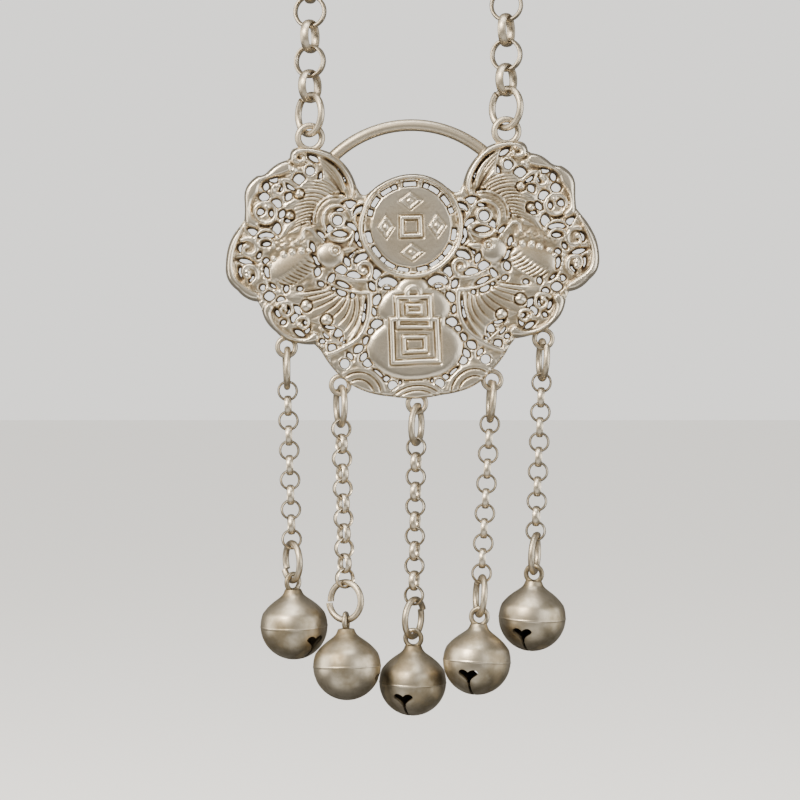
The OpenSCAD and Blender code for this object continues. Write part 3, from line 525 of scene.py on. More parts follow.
def silver(name, bright, dull, dark, rough, grain_mm, bump, patch=0.35, wear_and_painted_light=True):
    """Silver alloy: its ridges are rubbed bright and its recesses keep a brown tarnish."""
    made = bpy.data.materials.new(name)
    made.use_nodes = True
    tree = made.node_tree
    tree.nodes.clear()
    place = add(tree, "ShaderNodeTexCoord").outputs["Object"]
    grain = add(tree, "ShaderNodeTexNoise", {"Scale": 1 / (grain_mm * MM), "Detail": 4.0, "Roughness": 0.6},
                {"Vector": place}).outputs["Fac"]
    cloud = add(tree, "ShaderNodeTexNoise", {"Scale": 1 / (CLOUD * MM), "Detail": 3.0},
                {"Vector": place}).outputs["Fac"]
    wear_and_light_level = cloud
    # The point attribute holds wear, and on the bells also painted shade inside and a painted highlight on
    # the seam.
    if wear_and_painted_light:
        wear_and_light_level = add(tree, "ShaderNodeAttribute", {"attribute_name": "wear_and_painted_light"}).outputs["Fac"]
    mottle = add(tree, "ShaderNodeMath", {"operation": "MULTIPLY_ADD", 1: 0.35, 2: -0.17}, {0: grain})
    patches = add(tree, "ShaderNodeMath", {"operation": "MULTIPLY_ADD", 1: patch, 2: -0.5 * patch},
                  {0: cloud})
    both = add(tree, "ShaderNodeMath", {"operation": "ADD"}, {0: mottle.outputs[0], 1: patches.outputs[0]})
    level = add(tree, "ShaderNodeMath", {"operation": "ADD", "use_clamp": True},
                {0: wear_and_light_level, 1: both.outputs[0]}).outputs[0]
    colour = add(tree, "ShaderNodeValToRGB", {}, {"Fac": level})
    stops = colour.color_ramp.elements
    stops.remove(stops[0])
    for i, (at, tone) in enumerate(((0.12, dark), (0.45, dull), (0.8, bright))):
        stop = stops[0] if i == 0 else stops.new(at)
        stop.position = at
        stop.color = linear(tone)
    gloss = add(tree, "ShaderNodeMapRange",
                {"From Min": 0.1, "From Max": 0.9, "To Min": rough + 0.22, "To Max": rough}, {"Value": level})
    metal = add(tree, "ShaderNodeMapRange",
                {"From Min": 0.05, "From Max": 0.45, "To Min": 0.55, "To Max": 1.0}, {"Value": level})
    dent = add(tree, "ShaderNodeBump", {"Strength": bump, "Distance": PIT * MM}, {"Height": grain})
    shader = add(tree, "ShaderNodeBsdfPrincipled", {},
                 {"Base Color": colour.outputs["Color"], "Roughness": gloss.outputs[0],
                  "Metallic": metal.outputs[0], "Normal": dent.outputs[0]})
    add(tree, "ShaderNodeOutputMaterial", {}, {"Surface": shader.outputs[0]})
    return made


MATERIALS = {}


def material(key):
    """The part's finishes, each made once."""
    if not MATERIALS:
        look = bpy.context.scene.pendant_finish
        # Sand-cast silver alloy: open grain, rubbed ridges, brown tarnish in every recess.
        MATERIALS["cast"] = silver("cast_silver", look.bright, look.dull, look.dark,
                                   rough=0.3, grain_mm=0.35, bump=0.5, patch=0.7)
        # Drawn silver wire: smoother and more even, with a soft polish.
        MATERIALS["wire"] = silver("wire_silver", "D2C6B0", "A89B84", look.dark,
                                   rough=0.36, grain_mm=0.5, bump=0.18)
        # Pressed sheet: satin, warmer near the neck where hands don't rub it, with painted shade inside and a
        # painted highlight along the seam.
        MATERIALS["bell"] = silver("bell_silver", "C0B5A0", "90846D", "66583F",
                                   rough=0.36, grain_mm=1.1, bump=0.4, patch=1.6)
        # Dull loose ball, seen only through the slit and the hearts.
        MATERIALS["pellet"] = silver("tarnished_ball", "8C8274", "6E6354", "40362A",
                                     rough=0.5, grain_mm=0.4, bump=0.3, patch=0.2, wear_and_painted_light=False)
    return MATERIALS[key]


class PendantFinish(bpy.types.PropertyGroup):
    bright: bpy.props.StringProperty(
        name="Rubbed silver", description="sRGB hex of the ridges", default="DED2BC")
    dull: bpy.props.StringProperty(
        name="Dull silver", description="sRGB hex between the ridges", default="A5967C")
    dark: bpy.props.StringProperty(
        name="Tarnish", description="sRGB hex in the recesses", default="4E3D29")


class PendantSizes(bpy.types.PropertyGroup):
    cell: bpy.props.FloatProperty(
        name="Relief cell", description="Spacing of the relief's mesh in millimetres",
        default=0.18, min=0.12, max=0.5)
    floor_level: bpy.props.FloatProperty(
        name="Floor level",
        description="Height of the recessed floor over the plaque's middle plane in millimetres",
        default=0.55, min=0.0, max=0.65)
    rib_lines: bpy.props.IntProperty(
        name="Rib lines", description="Fine lines between two guide ribs", default=1, min=0, max=3)
    camera_away: bpy.props.FloatProperty(
        name="Camera distance", description="From the camera to the plaque",
        default=0.55, min=0.3, max=2.0, subtype="DISTANCE", unit="LENGTH")


def trough(distance, width):
    """A soft round profile, 1 in the middle of a groove and nearly 0 two widths away."""
    return np.exp(-(distance / width) ** 2)


def along_and_across(dx, dz, angle):
    """Offsets along and across a direction, without their signs."""
    c, s = math.cos(angle), math.sin(angle)
    return np.abs(dx * c + dz * s), np.abs(-dx * s + dz * c)


def from_segment(px, pz, a, b):
    """The distance of points from a segment, and how far along it they lie, 0 to 1."""
    ax, az = a
    bx, bz = b
    dx, dz = bx - ax, bz - az
    t = np.clip(((px - ax) * dx + (pz - az) * dz) / (dx * dx + dz * dz + 1e-12), 0, 1)
    return np.hypot(px - ax - t * dx, pz - az - t * dz), t


class Relief:
    """A field of heights over the plaque, raised and cut feature by feature, in plaque millimetres."""

    def __init__(self, x, z, floor):
        self.x, self.z = x, z
        self.h = np.full(x.shape, floor)
        self.cover = np.full(x.shape, -9.0)
        self.rub = np.zeros(x.shape)

    def raise_to(self, who, height):
        """Raises cells that are lower than a height."""
        self.h[who] = np.maximum(self.h[who], height)

    def cover_to(self, who, depth):
        """Notes how deep cells lie inside a form that covers the gaps."""
        self.cover[who] = np.maximum(self.cover[who], depth)

    def near(self, points, reach):
        """The cells within reach of the box round some points."""
        points = np.asarray(points, float)
        lo, hi = points.min(0) - reach, points.max(0) + reach
        return np.nonzero((self.x > lo[0]) & (self.x < hi[0]) & (self.z > lo[1]) & (self.z < hi[1]))[0]

    def path(self, points, reach):
        """The cells near a path, their distance from it, and how far along it they lie, 0 to 1."""
        who = self.near(points, reach)
        px, pz = self.x[who], self.z[who]
        best = np.full(who.shape, 99.0)
        along = np.zeros(who.shape)
        steps = len(points) - 1
        for i in range(steps):
            d, t = from_segment(px, pz, points[i], points[i + 1])
            closer = d < best
            best[closer] = d[closer]
            along[closer] = (i + t[closer]) / steps
        return who, best, along

    def wire(self, points, width, base, top, power=0.45):
        """A ridge along a path. A lower power flattens its top."""
        who, d, _ = self.path(points, width)
        half = width / 2
        k = 1 - (d / half) ** 2
        on = k > 0
        self.raise_to(who[on], base + (top - base) * k[on] ** power)
        self.cover_to(who, half - d - 0.1)

    def groove(self, points, width, depth):
        """A groove along a path, shallow where it starts."""
        who, d, along = self.path(points, width * 2)
        self.h[who] -= depth * np.clip(along * 2.5, 0, 1) * trough(d, width / 2)

    def ellipse(self, x, z, length, width, angle, power=2.0):
        """The cells near an ellipse and their radius in it, 1 at its edge. A low power gives it corners."""
        who = self.near([(x, z)], max(length, width) / 2 * 1.6 + 0.6)
        u, v = along_and_across(self.x[who] - x, self.z[who] - z, math.radians(angle))
        u, v = u / (length / 2), v / (width / 2)
        return who, (u ** power + v ** power) ** (1 / power)

    def dome(self, x, z, length, width, angle, base, top, power=0.5, covers=True):
        """A round-topped mound."""
        who, r = self.ellipse(x, z, length, width, angle)
        k = np.clip(1 - r * r, 0, 1) ** power
        on = r < 1
        self.raise_to(who[on], base + (top - base) * k[on])
        if covers:
            self.cover_to(who, (1 - r) * min(length, width) / 2)

    def ring(self, x, z, outer, inner, base, top, covers=True):
        """A round wire ring."""
        middle, half = (outer + inner) / 2, (outer - inner) / 2
        who = self.near([(x, z)], outer + 0.3)
        d = np.abs(np.hypot(self.x[who] - x, self.z[who] - z) - middle)
        k = 1 - (d / half) ** 2
        on = k > 0
        self.raise_to(who[on], base + (top - base) * np.sqrt(k[on]))
        if covers:
            self.cover_to(who, half - d)


def arc_points(a, b, bulge, step=0.5):
    """Points from a to b on a shallow arc, without the last."""
    a, b = np.array(a), np.array(b)
    d = b - a
    n = 1 if abs(bulge) < 0.05 else max(2, int(np.hypot(*d) / step))
    side = np.array([-d[1], d[0]]) / np.hypot(*d)
    return [tuple(a + d * t - side * bulge * 4 * t * (1 - t)) for t in (i / n for i in range(n))]


def half_outline():
    """Points along the left half of the plaque's outline."""
    points = []
    for row, after in zip(OUTLINE[:-1], OUTLINE[1:]):
        points += arc_points(row[:2], after[:2], row[2])
    return points + [OUTLINE[-1][:2]]


def inside(px, pz, points):
    """Which cells lie inside a closed polygon."""
    result = np.zeros(px.shape, bool)
    for (ax, az), (bx, bz) in zip(points, points[1:] + points[:1]):
        crosses = (az > pz) != (bz > pz)
        with np.errstate(divide="ignore", invalid="ignore"):
            at = (bx - ax) * (pz - az) / (bz - az) + ax
        result ^= crosses & (px < at)
    return result


def polygon_depth(px, pz, points):
    """Signed distance from a polygon's edge, positive inside."""
    best = np.full(px.shape, 99.0)
    for a, b in zip(points, points[1:] + points[:1]):
        best = np.minimum(best, from_segment(px, pz, a, b)[0])
    return np.where(inside(px, pz, points), best, -best)


def outline_depth(px, pz):
    """Signed distance from the plaque's edge, positive inside. The half outline closes far to the right."""
    half = half_outline()
    depth = polygon_depth(px, pz, [(30.0, half[0][1])] + half + [(30.0, half[-1][1])])
    return np.maximum(depth, HOOP_OUT - np.hypot(px, pz - HOOP_Z))


def curve(rows, n=10):
    """Points on a curve from the first row to the last, drawn towards the middle one."""
    a, b, c = (np.array(row, float) for row in rows)
    return [tuple(a * (1 - t) ** 2 + b * 2 * t * (1 - t) + c * t * t) for t in (i / n for i in range(n + 1))]


def smoothed(rows, n=5):
    """Rows of numbers joined by a smooth curve through all of them."""
    rows = np.array(rows, float)
    ends = np.concatenate([2 * rows[:1] - rows[1:2], rows, 2 * rows[-1:] - rows[-2:-1]])
    result = []
    for a, b, c, d in zip(ends[:-3], ends[1:-2], ends[2:-1], ends[3:]):
        for t in (i / n for i in range(n)):
            result.append((2 * b + (c - a) * t + (2 * a - 5 * b + 4 * c - d) * t ** 2
                           + (3 * b - a - 3 * c + d) * t ** 3) / 2)
    return np.array(result + [rows[-1]])


def scroll_points(x, z, r0, a0, r1, a1):
    """Points along a scroll, from its outer end to its inner end."""
    n = max(8, int(abs(a1 - a0) / 18))
    rows = []
    for i in range(n + 1):
        t = i / n
        r, a = r0 + (r1 - r0) * t, math.radians(a0 + (a1 - a0) * t)
        rows.append((x + r * math.cos(a), z + r * math.sin(a)))
    return rows


def smooth_noise(x, z, size, seed):
    """Soft seeded noise between about -1 and 1, its waves about as long as size."""
    rng = np.random.default_rng(seed)
    total = np.zeros(x.shape)
    for _ in range(7):
        a = rng.uniform(0, math.tau)
        k = math.tau / (size * rng.uniform(0.7, 1.5))
        total += np.sin((x * math.cos(a) + z * math.sin(a)) * k + rng.uniform(0, math.tau))
    return total / 4


def rib_lines(guides, extra):
    """The guide ribs of a wing, with some more between each two."""
    lines = []
    for a, b in zip(guides[:-1], guides[1:]):
        for share in (i / (extra + 1) for i in range(extra + 1)):
            lines.append([tuple(np.array(p) * (1 - share) + np.array(q) * share) for p, q in zip(a, b)])
    return lines + [guides[-1]]


def carve(px, pz, sizes):
    """Height, metal depth and extra rubbing of each cell of the plaque."""
    wander = 0.12
    x = px + wander * smooth_noise(px, pz, size=9, seed=3)
    z = pz + wander * smooth_noise(px, pz, size=9, seed=4)
    x = -np.abs(x)
    edge = outline_depth(x, z)
    field = Relief(x, z, sizes.floor_level)
    field.h += 0.05 * smooth_noise(px, pz, size=1.6, seed=5)
    gap = gaps(field)
    wings(field, sizes)
    scrollwork(field, px, pz)
    bats(field, px, pz)
    waves(field)
    rim(field, edge)
    gourd(field)
    coin(field)

    # Openings and the outer edge are rounded down, and the outer edge is rubbed.
    covered = np.maximum(gap, field.cover)
    metal = np.minimum(edge, covered)
    field.h -= 0.35 * trough(np.clip(covered, 0, 9), 0.22)
    field.h -= 0.5 * trough(np.clip(edge, 0, 9), 0.3)
    field.rub += 0.4 * trough(np.clip(edge, 0, 9), 0.6)
    return np.clip(field.h, DEEPEST, HIGHEST), metal, field.rub


def gaps(field):
    """How far each cell lies from the gaps and slots, with a rounded strut raised between them."""
    x, z = field.x, field.z
    gap = np.full(x.shape, 99.0)
    for x0, z0, length, width, angle in GAPS:
        corners = 2.0 if length == width else 1.6
        who, r = field.ellipse(x0, z0, length * 1.1, width * 1.1, angle, corners)
        gap[who] = np.minimum(gap[who], (r - 1) * min(length, width) / 2)
    for degrees, length in SLOTS:
        a = math.radians(degrees)
        at = (-SLOT_R * math.sin(a), COIN_Z + SLOT_R * math.cos(a))
        who = field.near([at], 2)
        u, v = along_and_across(x[who] - at[0], z[who] - at[1], a)
        gap[who] = np.minimum(gap[who], np.maximum(u - length / 2, v - SLOT_HALF))
    strut = np.clip(gap / 0.55, 0, 1)
    field.h += 0.75 * np.sqrt(strut * (2 - strut))
    return gap


def wings(field, sizes):
    """The wings' raised plates with their fine ribs."""
    for wing in WINGS:
        who = field.near(wing, 0.5)
        deep = polygon_depth(field.x[who], field.z[who], wing)
        plate = np.where(deep > 0, 1.2 + 0.32 * np.clip(deep / 0.35, 0, 1) ** 0.5, -9)
        field.raise_to(who, plate)
        field.cover_to(who, deep)
    for line in rib_lines(UPPER_RIBS, sizes.rib_lines) + rib_lines(LOWER_RIBS, 0):
        field.groove(curve(line[::-1]), width=0.34, depth=0.36)


def scrollwork(field, px, pz):
    """Bands, scrolls with a bead at their inner end, eyelets, and the moon's rough band."""
    for start, bend, end, width in BANDS:
        field.wire(curve((start, bend, end)), width, base=0.8, top=1.75)
    for *row, width in SCROLLS:
        points = scroll_points(*row)
        field.wire(points, width * 1.35, base=1.0, top=1.8)
        if row[4] < 1:
            field.dome(*points[-1], width * 1.9, width * 1.9, 0, base=1.1, top=1.9)
    for x0, z0, outer, inner in EYELETS:
        field.ring(x0, z0, outer, inner, base=0.9, top=1.8 if z0 > 0 else 1.5)
    moon = [(MOON[0] + MOON_R * math.cos(a), MOON[1] + MOON_R * math.sin(a))
            for a in np.radians(np.linspace(86, 186, 14))]
    field.wire(moon, 1.6, base=0.95, top=1.5, power=0.3)
    who, d, _ = field.path(moon, 1.0)
    grain = smooth_noise(px[who], pz[who], size=0.5, seed=9)
    field.h[who] += 0.06 * grain * np.clip(1 - d / 0.7, 0, 1)


def bats(field, px, pz):
    """The bats' rough fur, smooth domes, folds of the body, eyes and beads."""
    x, z = field.x, field.z
    fur = np.exp(-((x + 24.3) / 4.0) ** 2 - ((z - 7.9 - 0.05 * (x + 24)) / 1.3) ** 2)
    field.h += fur * (0.3 + 0.16 * smooth_noise(px, pz, size=0.95, seed=6))
    for *place, rise in DOMES:
        field.dome(*place, base=1.1, top=WEB_TOP + rise, power=0.4)
    folds = 9
    for t in (i / (folds - 1) for i in range(folds)):
        start = (-21.9 - 5.6 * t, 5.1 - 3.9 * t ** 0.8)
        end = (-18.8 - 6.0 * t, 3.7 - 4.3 * t ** 0.8)
        bend = ((start[0] + end[0]) / 2 - 0.3, (start[1] + end[1]) / 2 - 0.2)
        field.groove(curve((start, bend, end), 6), width=0.34, depth=0.42)
    field.ring(*BAT_EYE, 1.15, 0.6, base=1.9, top=2.55, covers=False)
    field.dome(*BAT_EYE, 1.1, 1.1, 0, base=1.9, top=2.5, covers=False)
    for x0, z0, r, rise, ringed in BEADS:
        who, d, _ = field.path([(x0, z0), (x0 + 0.01, z0)], r + 0.7)
        field.rub[who] += 0.22 * (d < r)
        if ringed:
            field.h[who] -= 0.5 * trough(d - r - 0.22, 0.16)
        field.dome(x0, z0, 2 * r, 2 * r, 0, base=WEB_TOP, top=WEB_TOP + rise, power=0.36)


def waves(field):
    """Scale waves along the plaque's foot."""
    x, z = field.x, field.z
    for x0, z0, radius, lines, lo, hi in WAVES:
        r = np.hypot(x - x0, z - z0)
        on = (r < radius) & (x > lo) & (x < hi) & (z < -14)
        r = r[on]
        field.raise_to(on, 1.15 + 0.25 * np.clip((radius - r) / 0.5, 0, 1))
        for line in lines:
            field.h[on] -= 0.4 * trough(r - line, 0.16)
        field.cover_to(on, radius - r)


def rim(field, edge):
    """Smooth crescents with a bright outer bevel and a thin line along their inner side."""
    thin = (edge > 0) & (edge < 0.95) & (field.z > FOOT_Z)
    field.raise_to(thin, 0.95 + 0.35 * np.clip(edge[thin] / 0.4, 0, 1))
    field.cover_to(thin, 0.4)
    for crescent in CRESCENTS:
        rows = smoothed(crescent)
        who, d, along = field.path(rows[:, :2], 2.2)
        deep = np.interp(along, np.linspace(0, 1, len(rows)), rows[:, 2]) - d
        out = np.clip(edge[who] / 1.1, 0, 1)
        face = 1.0 + (HIGH - 1.0) * np.sqrt(np.clip(deep / 0.7, 0, 1) * out * (2 - out))
        field.h[who] -= 0.1 * trough(deep + 0.15, 0.15)
        on = deep > 0
        field.h[who[on]] = face[on]
        field.rub[who[on]] = 0.36
        field.cover_to(who, deep)
    foot = (field.z <= FOOT_Z) & (edge > 0) & (edge < 0.9)
    field.raise_to(foot, 1.1)
    field.cover_to(foot, 0.5)


def gourd(field):
    """A smooth double-bellied gourd with a sunk panel and a plain fret."""
    x, z = np.abs(field.x), field.z
    middle, wide, tall = WAIST
    depth = np.minimum(wide - x, tall - np.abs(z - middle))
    for middle, wide, tall in BELLIES:
        depth = np.maximum(depth, (1 - np.hypot(x / wide, (z - middle) / tall)) * tall)
    on = depth > 0
    slope = np.clip(depth / 1.5, 0, 1)
    pillow = WEB_TOP + 0.95 * np.sqrt(slope * (2 - slope))
    pillow += 0.008 * smooth_noise(field.x, z, size=1.1, seed=8)
    field.h[on] = pillow[on]
    field.rub[on] += 0.2
    field.cover = np.maximum(field.cover, depth)
    bars = np.full(x.shape, -9.0)
    for x0, z0, width, height in FRET:
        bars = np.maximum(bars, np.minimum(width / 2 - np.abs(x - x0), height / 2 - np.abs(z - z0)))
    field.h -= np.where(on, 0.25 * np.clip(1 + bars / 0.4, 0, 1), 0)
    field.ring(0, -2.7, 1.8, 0.8, base=1.3, top=2.0)
    rise = bars > 0
    field.h[rise] = 1.4 + 0.6 * np.clip(bars[rise] / 0.35, 0, 1) ** 0.5


def coin(field):
    """A flat coin with a square frame and four plain lozenges, inside its ring."""
    x, z = field.x, field.z
    r = np.hypot(x, z - COIN_Z)
    disc = r < COIN_R
    field.h[disc] = 1.2 + 0.3 * np.clip((COIN_R - r[disc]) / 0.4, 0, 1) ** 0.5
    field.h[disc] += 0.008 * smooth_noise(x[disc] * 1.3, z[disc], size=1.3, seed=12)
    field.rub[disc] += 0.12
    field.cover = np.maximum(field.cover, COIN_R - r)
    hoop = np.hypot(x, z - HOOP_Z)
    band = (hoop < HOOP_OUT) & (hoop > HOOP_IN)
    crest, line = (1 - ((hoop[band] - radius) / half) ** 2 for radius, half in (HOOP_CREST, HOOP_LINE))
    field.h[band] = np.maximum(1.0 + (HIGH - 1.0) * np.sqrt(np.clip(crest, 0, 1)),
                               1.0 + 0.65 * np.sqrt(np.clip(line, 0, 1)))
    beyond = hoop > HOOP_IN
    field.cover_to(beyond, np.minimum(hoop - HOOP_IN, HOOP_OUT - hoop)[beyond])
    square = np.maximum(np.abs(x), np.abs(z - FRAME_Z))
    mark = 1 - (np.abs(square - 1.8) / 0.34) ** 2
    on = mark > 0
    field.h[on] += 0.4 * np.sqrt(mark[on])
    for line in (1.25, 2.35):
        field.h -= 0.22 * trough(square - line, 0.14)
    for dx, dz in ((0, 5.1), (5.1, 0), (0, -5.1)):
        u, v = np.abs(np.abs(x) - dx), np.abs(z - FRAME_Z - dz)
        long, short = (u, v) if dx == 0 else (v, u)
        size = long / 2.2 + short / 1.65
        mark = 1 - (np.abs(size - 0.85) / 0.15) ** 2
        on = mark > 0
        field.h[on] += 0.27 * np.sqrt(mark[on])
        field.h -= 0.15 * trough(size - 1.12, 0.08)
        field.h += 0.22 * np.clip(1 - size / 0.35, 0, 1) ** 0.5


def blurred(grid, cells):
    """A grid blurred by a box three times over."""
    for _ in range(3):
        for axis in (0, 1):
            pad = [(0, 0), (0, 0)]
            pad[axis] = (cells + 1, cells)
            total = np.cumsum(np.pad(grid, pad, mode="edge"), axis=axis)
            n = grid.shape[axis]
            hi = np.take(total, np.arange(2 * cells + 1, 2 * cells + 1 + n), axis=axis)
            lo = np.take(total, np.arange(0, n), axis=axis)
            grid = (hi - lo) / (2 * cells + 1)
    return grid


class PENDANT_OT_plaque(bpy.types.Operator):
    """Carves the pierced plaque from a fine grid, front relief and flat back"""
    bl_idname = "pendant.plaque"
    bl_label = "Pierced plaque"

    def execute(self, context):
        sizes = context.scene.pendant_sizes
        cell = sizes.cell
        nx, nz = int(GRID_WIDE / cell), int(GRID_TALL / cell)
        clear_selection()
        bpy.ops.mesh.primitive_grid_add(x_subdivisions=nx, y_subdivisions=nz, size=1)
        front = added("plaque_relief")
        mesh = front.data
        count = len(mesh.vertices)
        co = np.zeros(count * 3)
        mesh.vertices.foreach_get("co", co)
        co = co.reshape(-1, 3)
        px = co[:, 0] * GRID_WIDE
        pz = co[:, 1] * GRID_TALL + GRID_Z
        order = np.lexsort((px.round(4), pz.round(4)))
        columns = len(np.unique(px.round(4)))

        def as_grid(values):
            return values[order].reshape(-1, columns)

        # Cells at the edge are drawn onto it, so that the openings get smooth outlines.
        height, metal, rub = carve(px, pz, sizes)
        gz, gx = np.gradient(as_grid(metal), cell)
        slope_x, slope_z = np.zeros(count), np.zeros(count)
        slope_x[order], slope_z[order] = gx.ravel(), gz.ravel()
        steep = np.maximum(np.hypot(slope_x, slope_z), 0.3)
        pull = np.where(np.abs(metal / steep) < 0.5 * cell, metal / steep, 0.0)
        qx, qz = px - slope_x / steep * pull, pz - slope_z / steep * pull
        keep = (metal >= 0) | (pull != 0)

        # What stands above its surroundings is rubbed bright.
        heights = as_grid(height)
        local = heights - blurred(heights, int(LOCAL_WEAR / cell))
        broad = heights - blurred(heights, int(BROAD_WEAR / cell))
        wear_and_painted_light = np.zeros(count)
        wear_and_painted_light[order] = np.clip(0.5 + 0.95 * local + 0.35 * broad + as_grid(rub), 0, 1).ravel()

        corners = np.zeros(len(mesh.polygons) * 4, int)
        mesh.polygons.foreach_get("vertices", corners)
        corners = corners.reshape(-1, 4)
        held = keep[corners].sum(1)
        faces = [tuple(c) for c in corners[held == 4]]
        faces += [tuple(v for v in c if keep[v]) for c in corners[held == 3]]
        used = np.unique(np.concatenate([np.array(f) for f in faces]))
        renumber = np.full(count, -1)
        renumber[used] = np.arange(len(used))
        points = np.stack([qx, -height, qz], 1)[used] * MM
        mesh.clear_geometry()
        mesh.from_pydata(points.tolist(), [], [tuple(int(renumber[v]) for v in f) for f in faces])
        set_wear_and_painted_light(front, wear_and_painted_light[used])

        column = np.round((px[used] + GRID_WIDE / 2) / GRID_WIDE * nx).astype(int)
        row = np.round((pz[used] - GRID_Z + GRID_TALL / 2) / GRID_TALL * nz).astype(int)
        back = self.flat_back(front, column, row)
        self.walls(front)
        front = joined([front, back], "plaque_relief")
        bpy.ops.object.mode_set(mode="EDIT")
        close_up(merge=True)
        front.data.transform(ON_PLAQUE)
        dress(front, material("cast"), ["plaque"], smooth=60)
        return {"FINISHED"}

    def flat_back(self, front, column, row):
        """A flat copy of the front, simplified within blocks of cells but whole along its rim."""
        back = copies(front, [Matrix.Identity(4)], "plaque_back")
        mesh = back.data
        for vert in mesh.vertices:
            vert.co.y = WEB_TOP * MM
        set_wear_and_painted_light(back, WEAR_BACK)
        ends = np.zeros(len(mesh.edges) * 2, int)
        mesh.edges.foreach_get("vertices", ends)
        a, b = ends.reshape(-1, 2).T
        block = ((column[a] == column[b]) & (column[a] % BLOCK == 0)
                 | (row[a] == row[b]) & (row[a] % BLOCK == 0))
        mesh.edges.foreach_set("use_seam", block)
        bpy.ops.object.mode_set(mode="EDIT")
        bpy.ops.mesh.select_mode(type="VERT")
        bpy.ops.mesh.select_all(action="DESELECT")
        bpy.ops.mesh.select_non_manifold(extend=False)
        bpy.ops.mesh.select_all(action="INVERT")
        bpy.ops.mesh.dissolve_limited(angle_limit=math.radians(1), delimit={"SEAM"})
        bpy.ops.mesh.select_all(action="SELECT")
        bpy.ops.mesh.flip_normals()
        bpy.ops.object.mode_set(mode="OBJECT")
        return back

    def walls(self, front):
        """Extrudes the front's rims down to the back."""
        count = len(front.data.vertices)
        select_only(front)
        bpy.ops.object.mode_set(mode="EDIT")
        bpy.ops.mesh.select_mode(type="EDGE")
        bpy.ops.mesh.select_all(action="DESELECT")
        bpy.ops.mesh.select_non_manifold(extend=False)
        bpy.ops.mesh.extrude_edges_move(TRANSFORM_OT_translate={"value": (0, 0.001 * MM, 0)})
        bpy.ops.object.mode_set(mode="OBJECT")
        for vert in front.data.vertices:
            if vert.index >= count:
                vert.co.y = WEB_TOP * MM


def close_up(merge=False):
    """Ends edit mode with doubled points merged, if asked, and all faces pointing outwards."""
    bpy.ops.mesh.select_all(action="SELECT")
    if merge:
        bpy.ops.mesh.remove_doubles(threshold=MERGE)
    bpy.ops.mesh.normals_make_consistent(inside=False)
    bpy.ops.object.mode_set(mode="OBJECT")


def spin_round(obj, steps, degrees, merge=False):
    """Spins a profile about the Z axis."""
    select_only(obj)
    bpy.ops.object.mode_set(mode="EDIT")
    bpy.ops.mesh.select_all(action="SELECT")
    bpy.ops.mesh.spin(steps=steps, angle=math.radians(degrees), center=(0, 0, 0), axis=(0, 0, 1))
    close_up(merge)


def bent_wire(name, radius, away, around, steps, degrees):
    """Round wire of a radius, bent about the Z axis from the X axis on, at a distance."""
    clear_selection()
    bpy.ops.mesh.primitive_circle_add(vertices=around, radius=radius * MM, fill_type="NGON",
                                      location=(away * MM, 0, 0), rotation=(math.pi / 2, 0, 0))
    obj = added(name)
    apply_place(obj)
    spin_round(obj, steps, degrees)
    return obj


def open_ring(name, size, more, gap, offset):
    """A jump ring of round wire whose two ends meet beside each other, its axis along Z."""
    outer, wire = size[0] + more, size[1] + more
    obj = bent_wire(name, wire / 2, outer - wire / 2, around=14, steps=64, degrees=360 - gap)
    # The wire runs clockwise from the X axis, counted here with a degree to spare.
    for vert in obj.data.vertices:
        a = (1 - math.degrees(math.atan2(vert.co.y, vert.co.x))) % 360
        vert.co.z += (a / 360 - 0.5) * offset * MM
    return obj


def torus(name, outer, wire, around, section):
    """A closed ring, its axis along Z."""
    clear_selection()
    bpy.ops.mesh.primitive_torus_add(major_radius=(outer - wire / 2) * MM, minor_radius=wire / 2 * MM,
                                     major_segments=around, minor_segments=section)
    return added(name)


def link(name, size, more, around, section):
    """A round link of half-round band, its axis along X."""
    outer, thick, wide = size[0] + more, size[1] + more, size[2]
    obj = torus(name, outer, thick, around, section)
    for vert in obj.data.vertices:
        vert.co.z *= wide / thick
    obj.data.transform(turn("Y", 90))
    return obj


class PENDANT_OT_eyes(bpy.types.Operator):
    """Adds the handle and the soldered eyes of the plaque"""
    bl_idname = "pendant.eyes"
    bl_label = "Handle and eyes"

    def execute(self, context):
        made = []
        eyes = [(-EYE_X, EYE_Z, TOP_EYE), (EYE_X, EYE_Z, TOP_EYE)] + [(s[0], s[1], LOW_EYE) for s in STRANDS]
        for x, z, (outer, wire) in eyes:
            eye = torus("eye", outer + EYE_MORE, wire + EYE_MORE, around=40, section=14)
            apply_place(eye, Matrix.Translation((x * MM, 0, z * MM)) @ turn("X", 90))
            made.append(eye)
        bar = bent_wire("bar", HANDLE_BAR, HANDLE_R, around=20, steps=72, degrees=2 * HANDLE_REACH)
        behind = (WEB_TOP + HANDLE_BAR - HANDLE_SUNK) * MM
        bar.data.transform(Matrix.Translation((0, behind, HANDLE_Z * MM)) @ turn("X", 90)
                           @ turn("Z", 90 + HANDLE_REACH))
        obj = joined(made + [bar], "plaque_handle_and_eyes")
        obj.data.transform(ON_PLAQUE)
        set_wear_and_painted_light(obj, WEAR_EYES)
        dress(obj, material("wire"), ["plaque"])
        return {"FINISHED"}


def pulled(points, steps):
    """Points after the first one on a curve with two end points and the two that pull it between them."""
    a, b, c, d = points
    return [a * (1 - t) ** 3 + b * 3 * t * (1 - t) ** 2 + c * 3 * t * t * (1 - t) + d * t ** 3
            for t in (i / steps for i in range(1, steps + 1))]


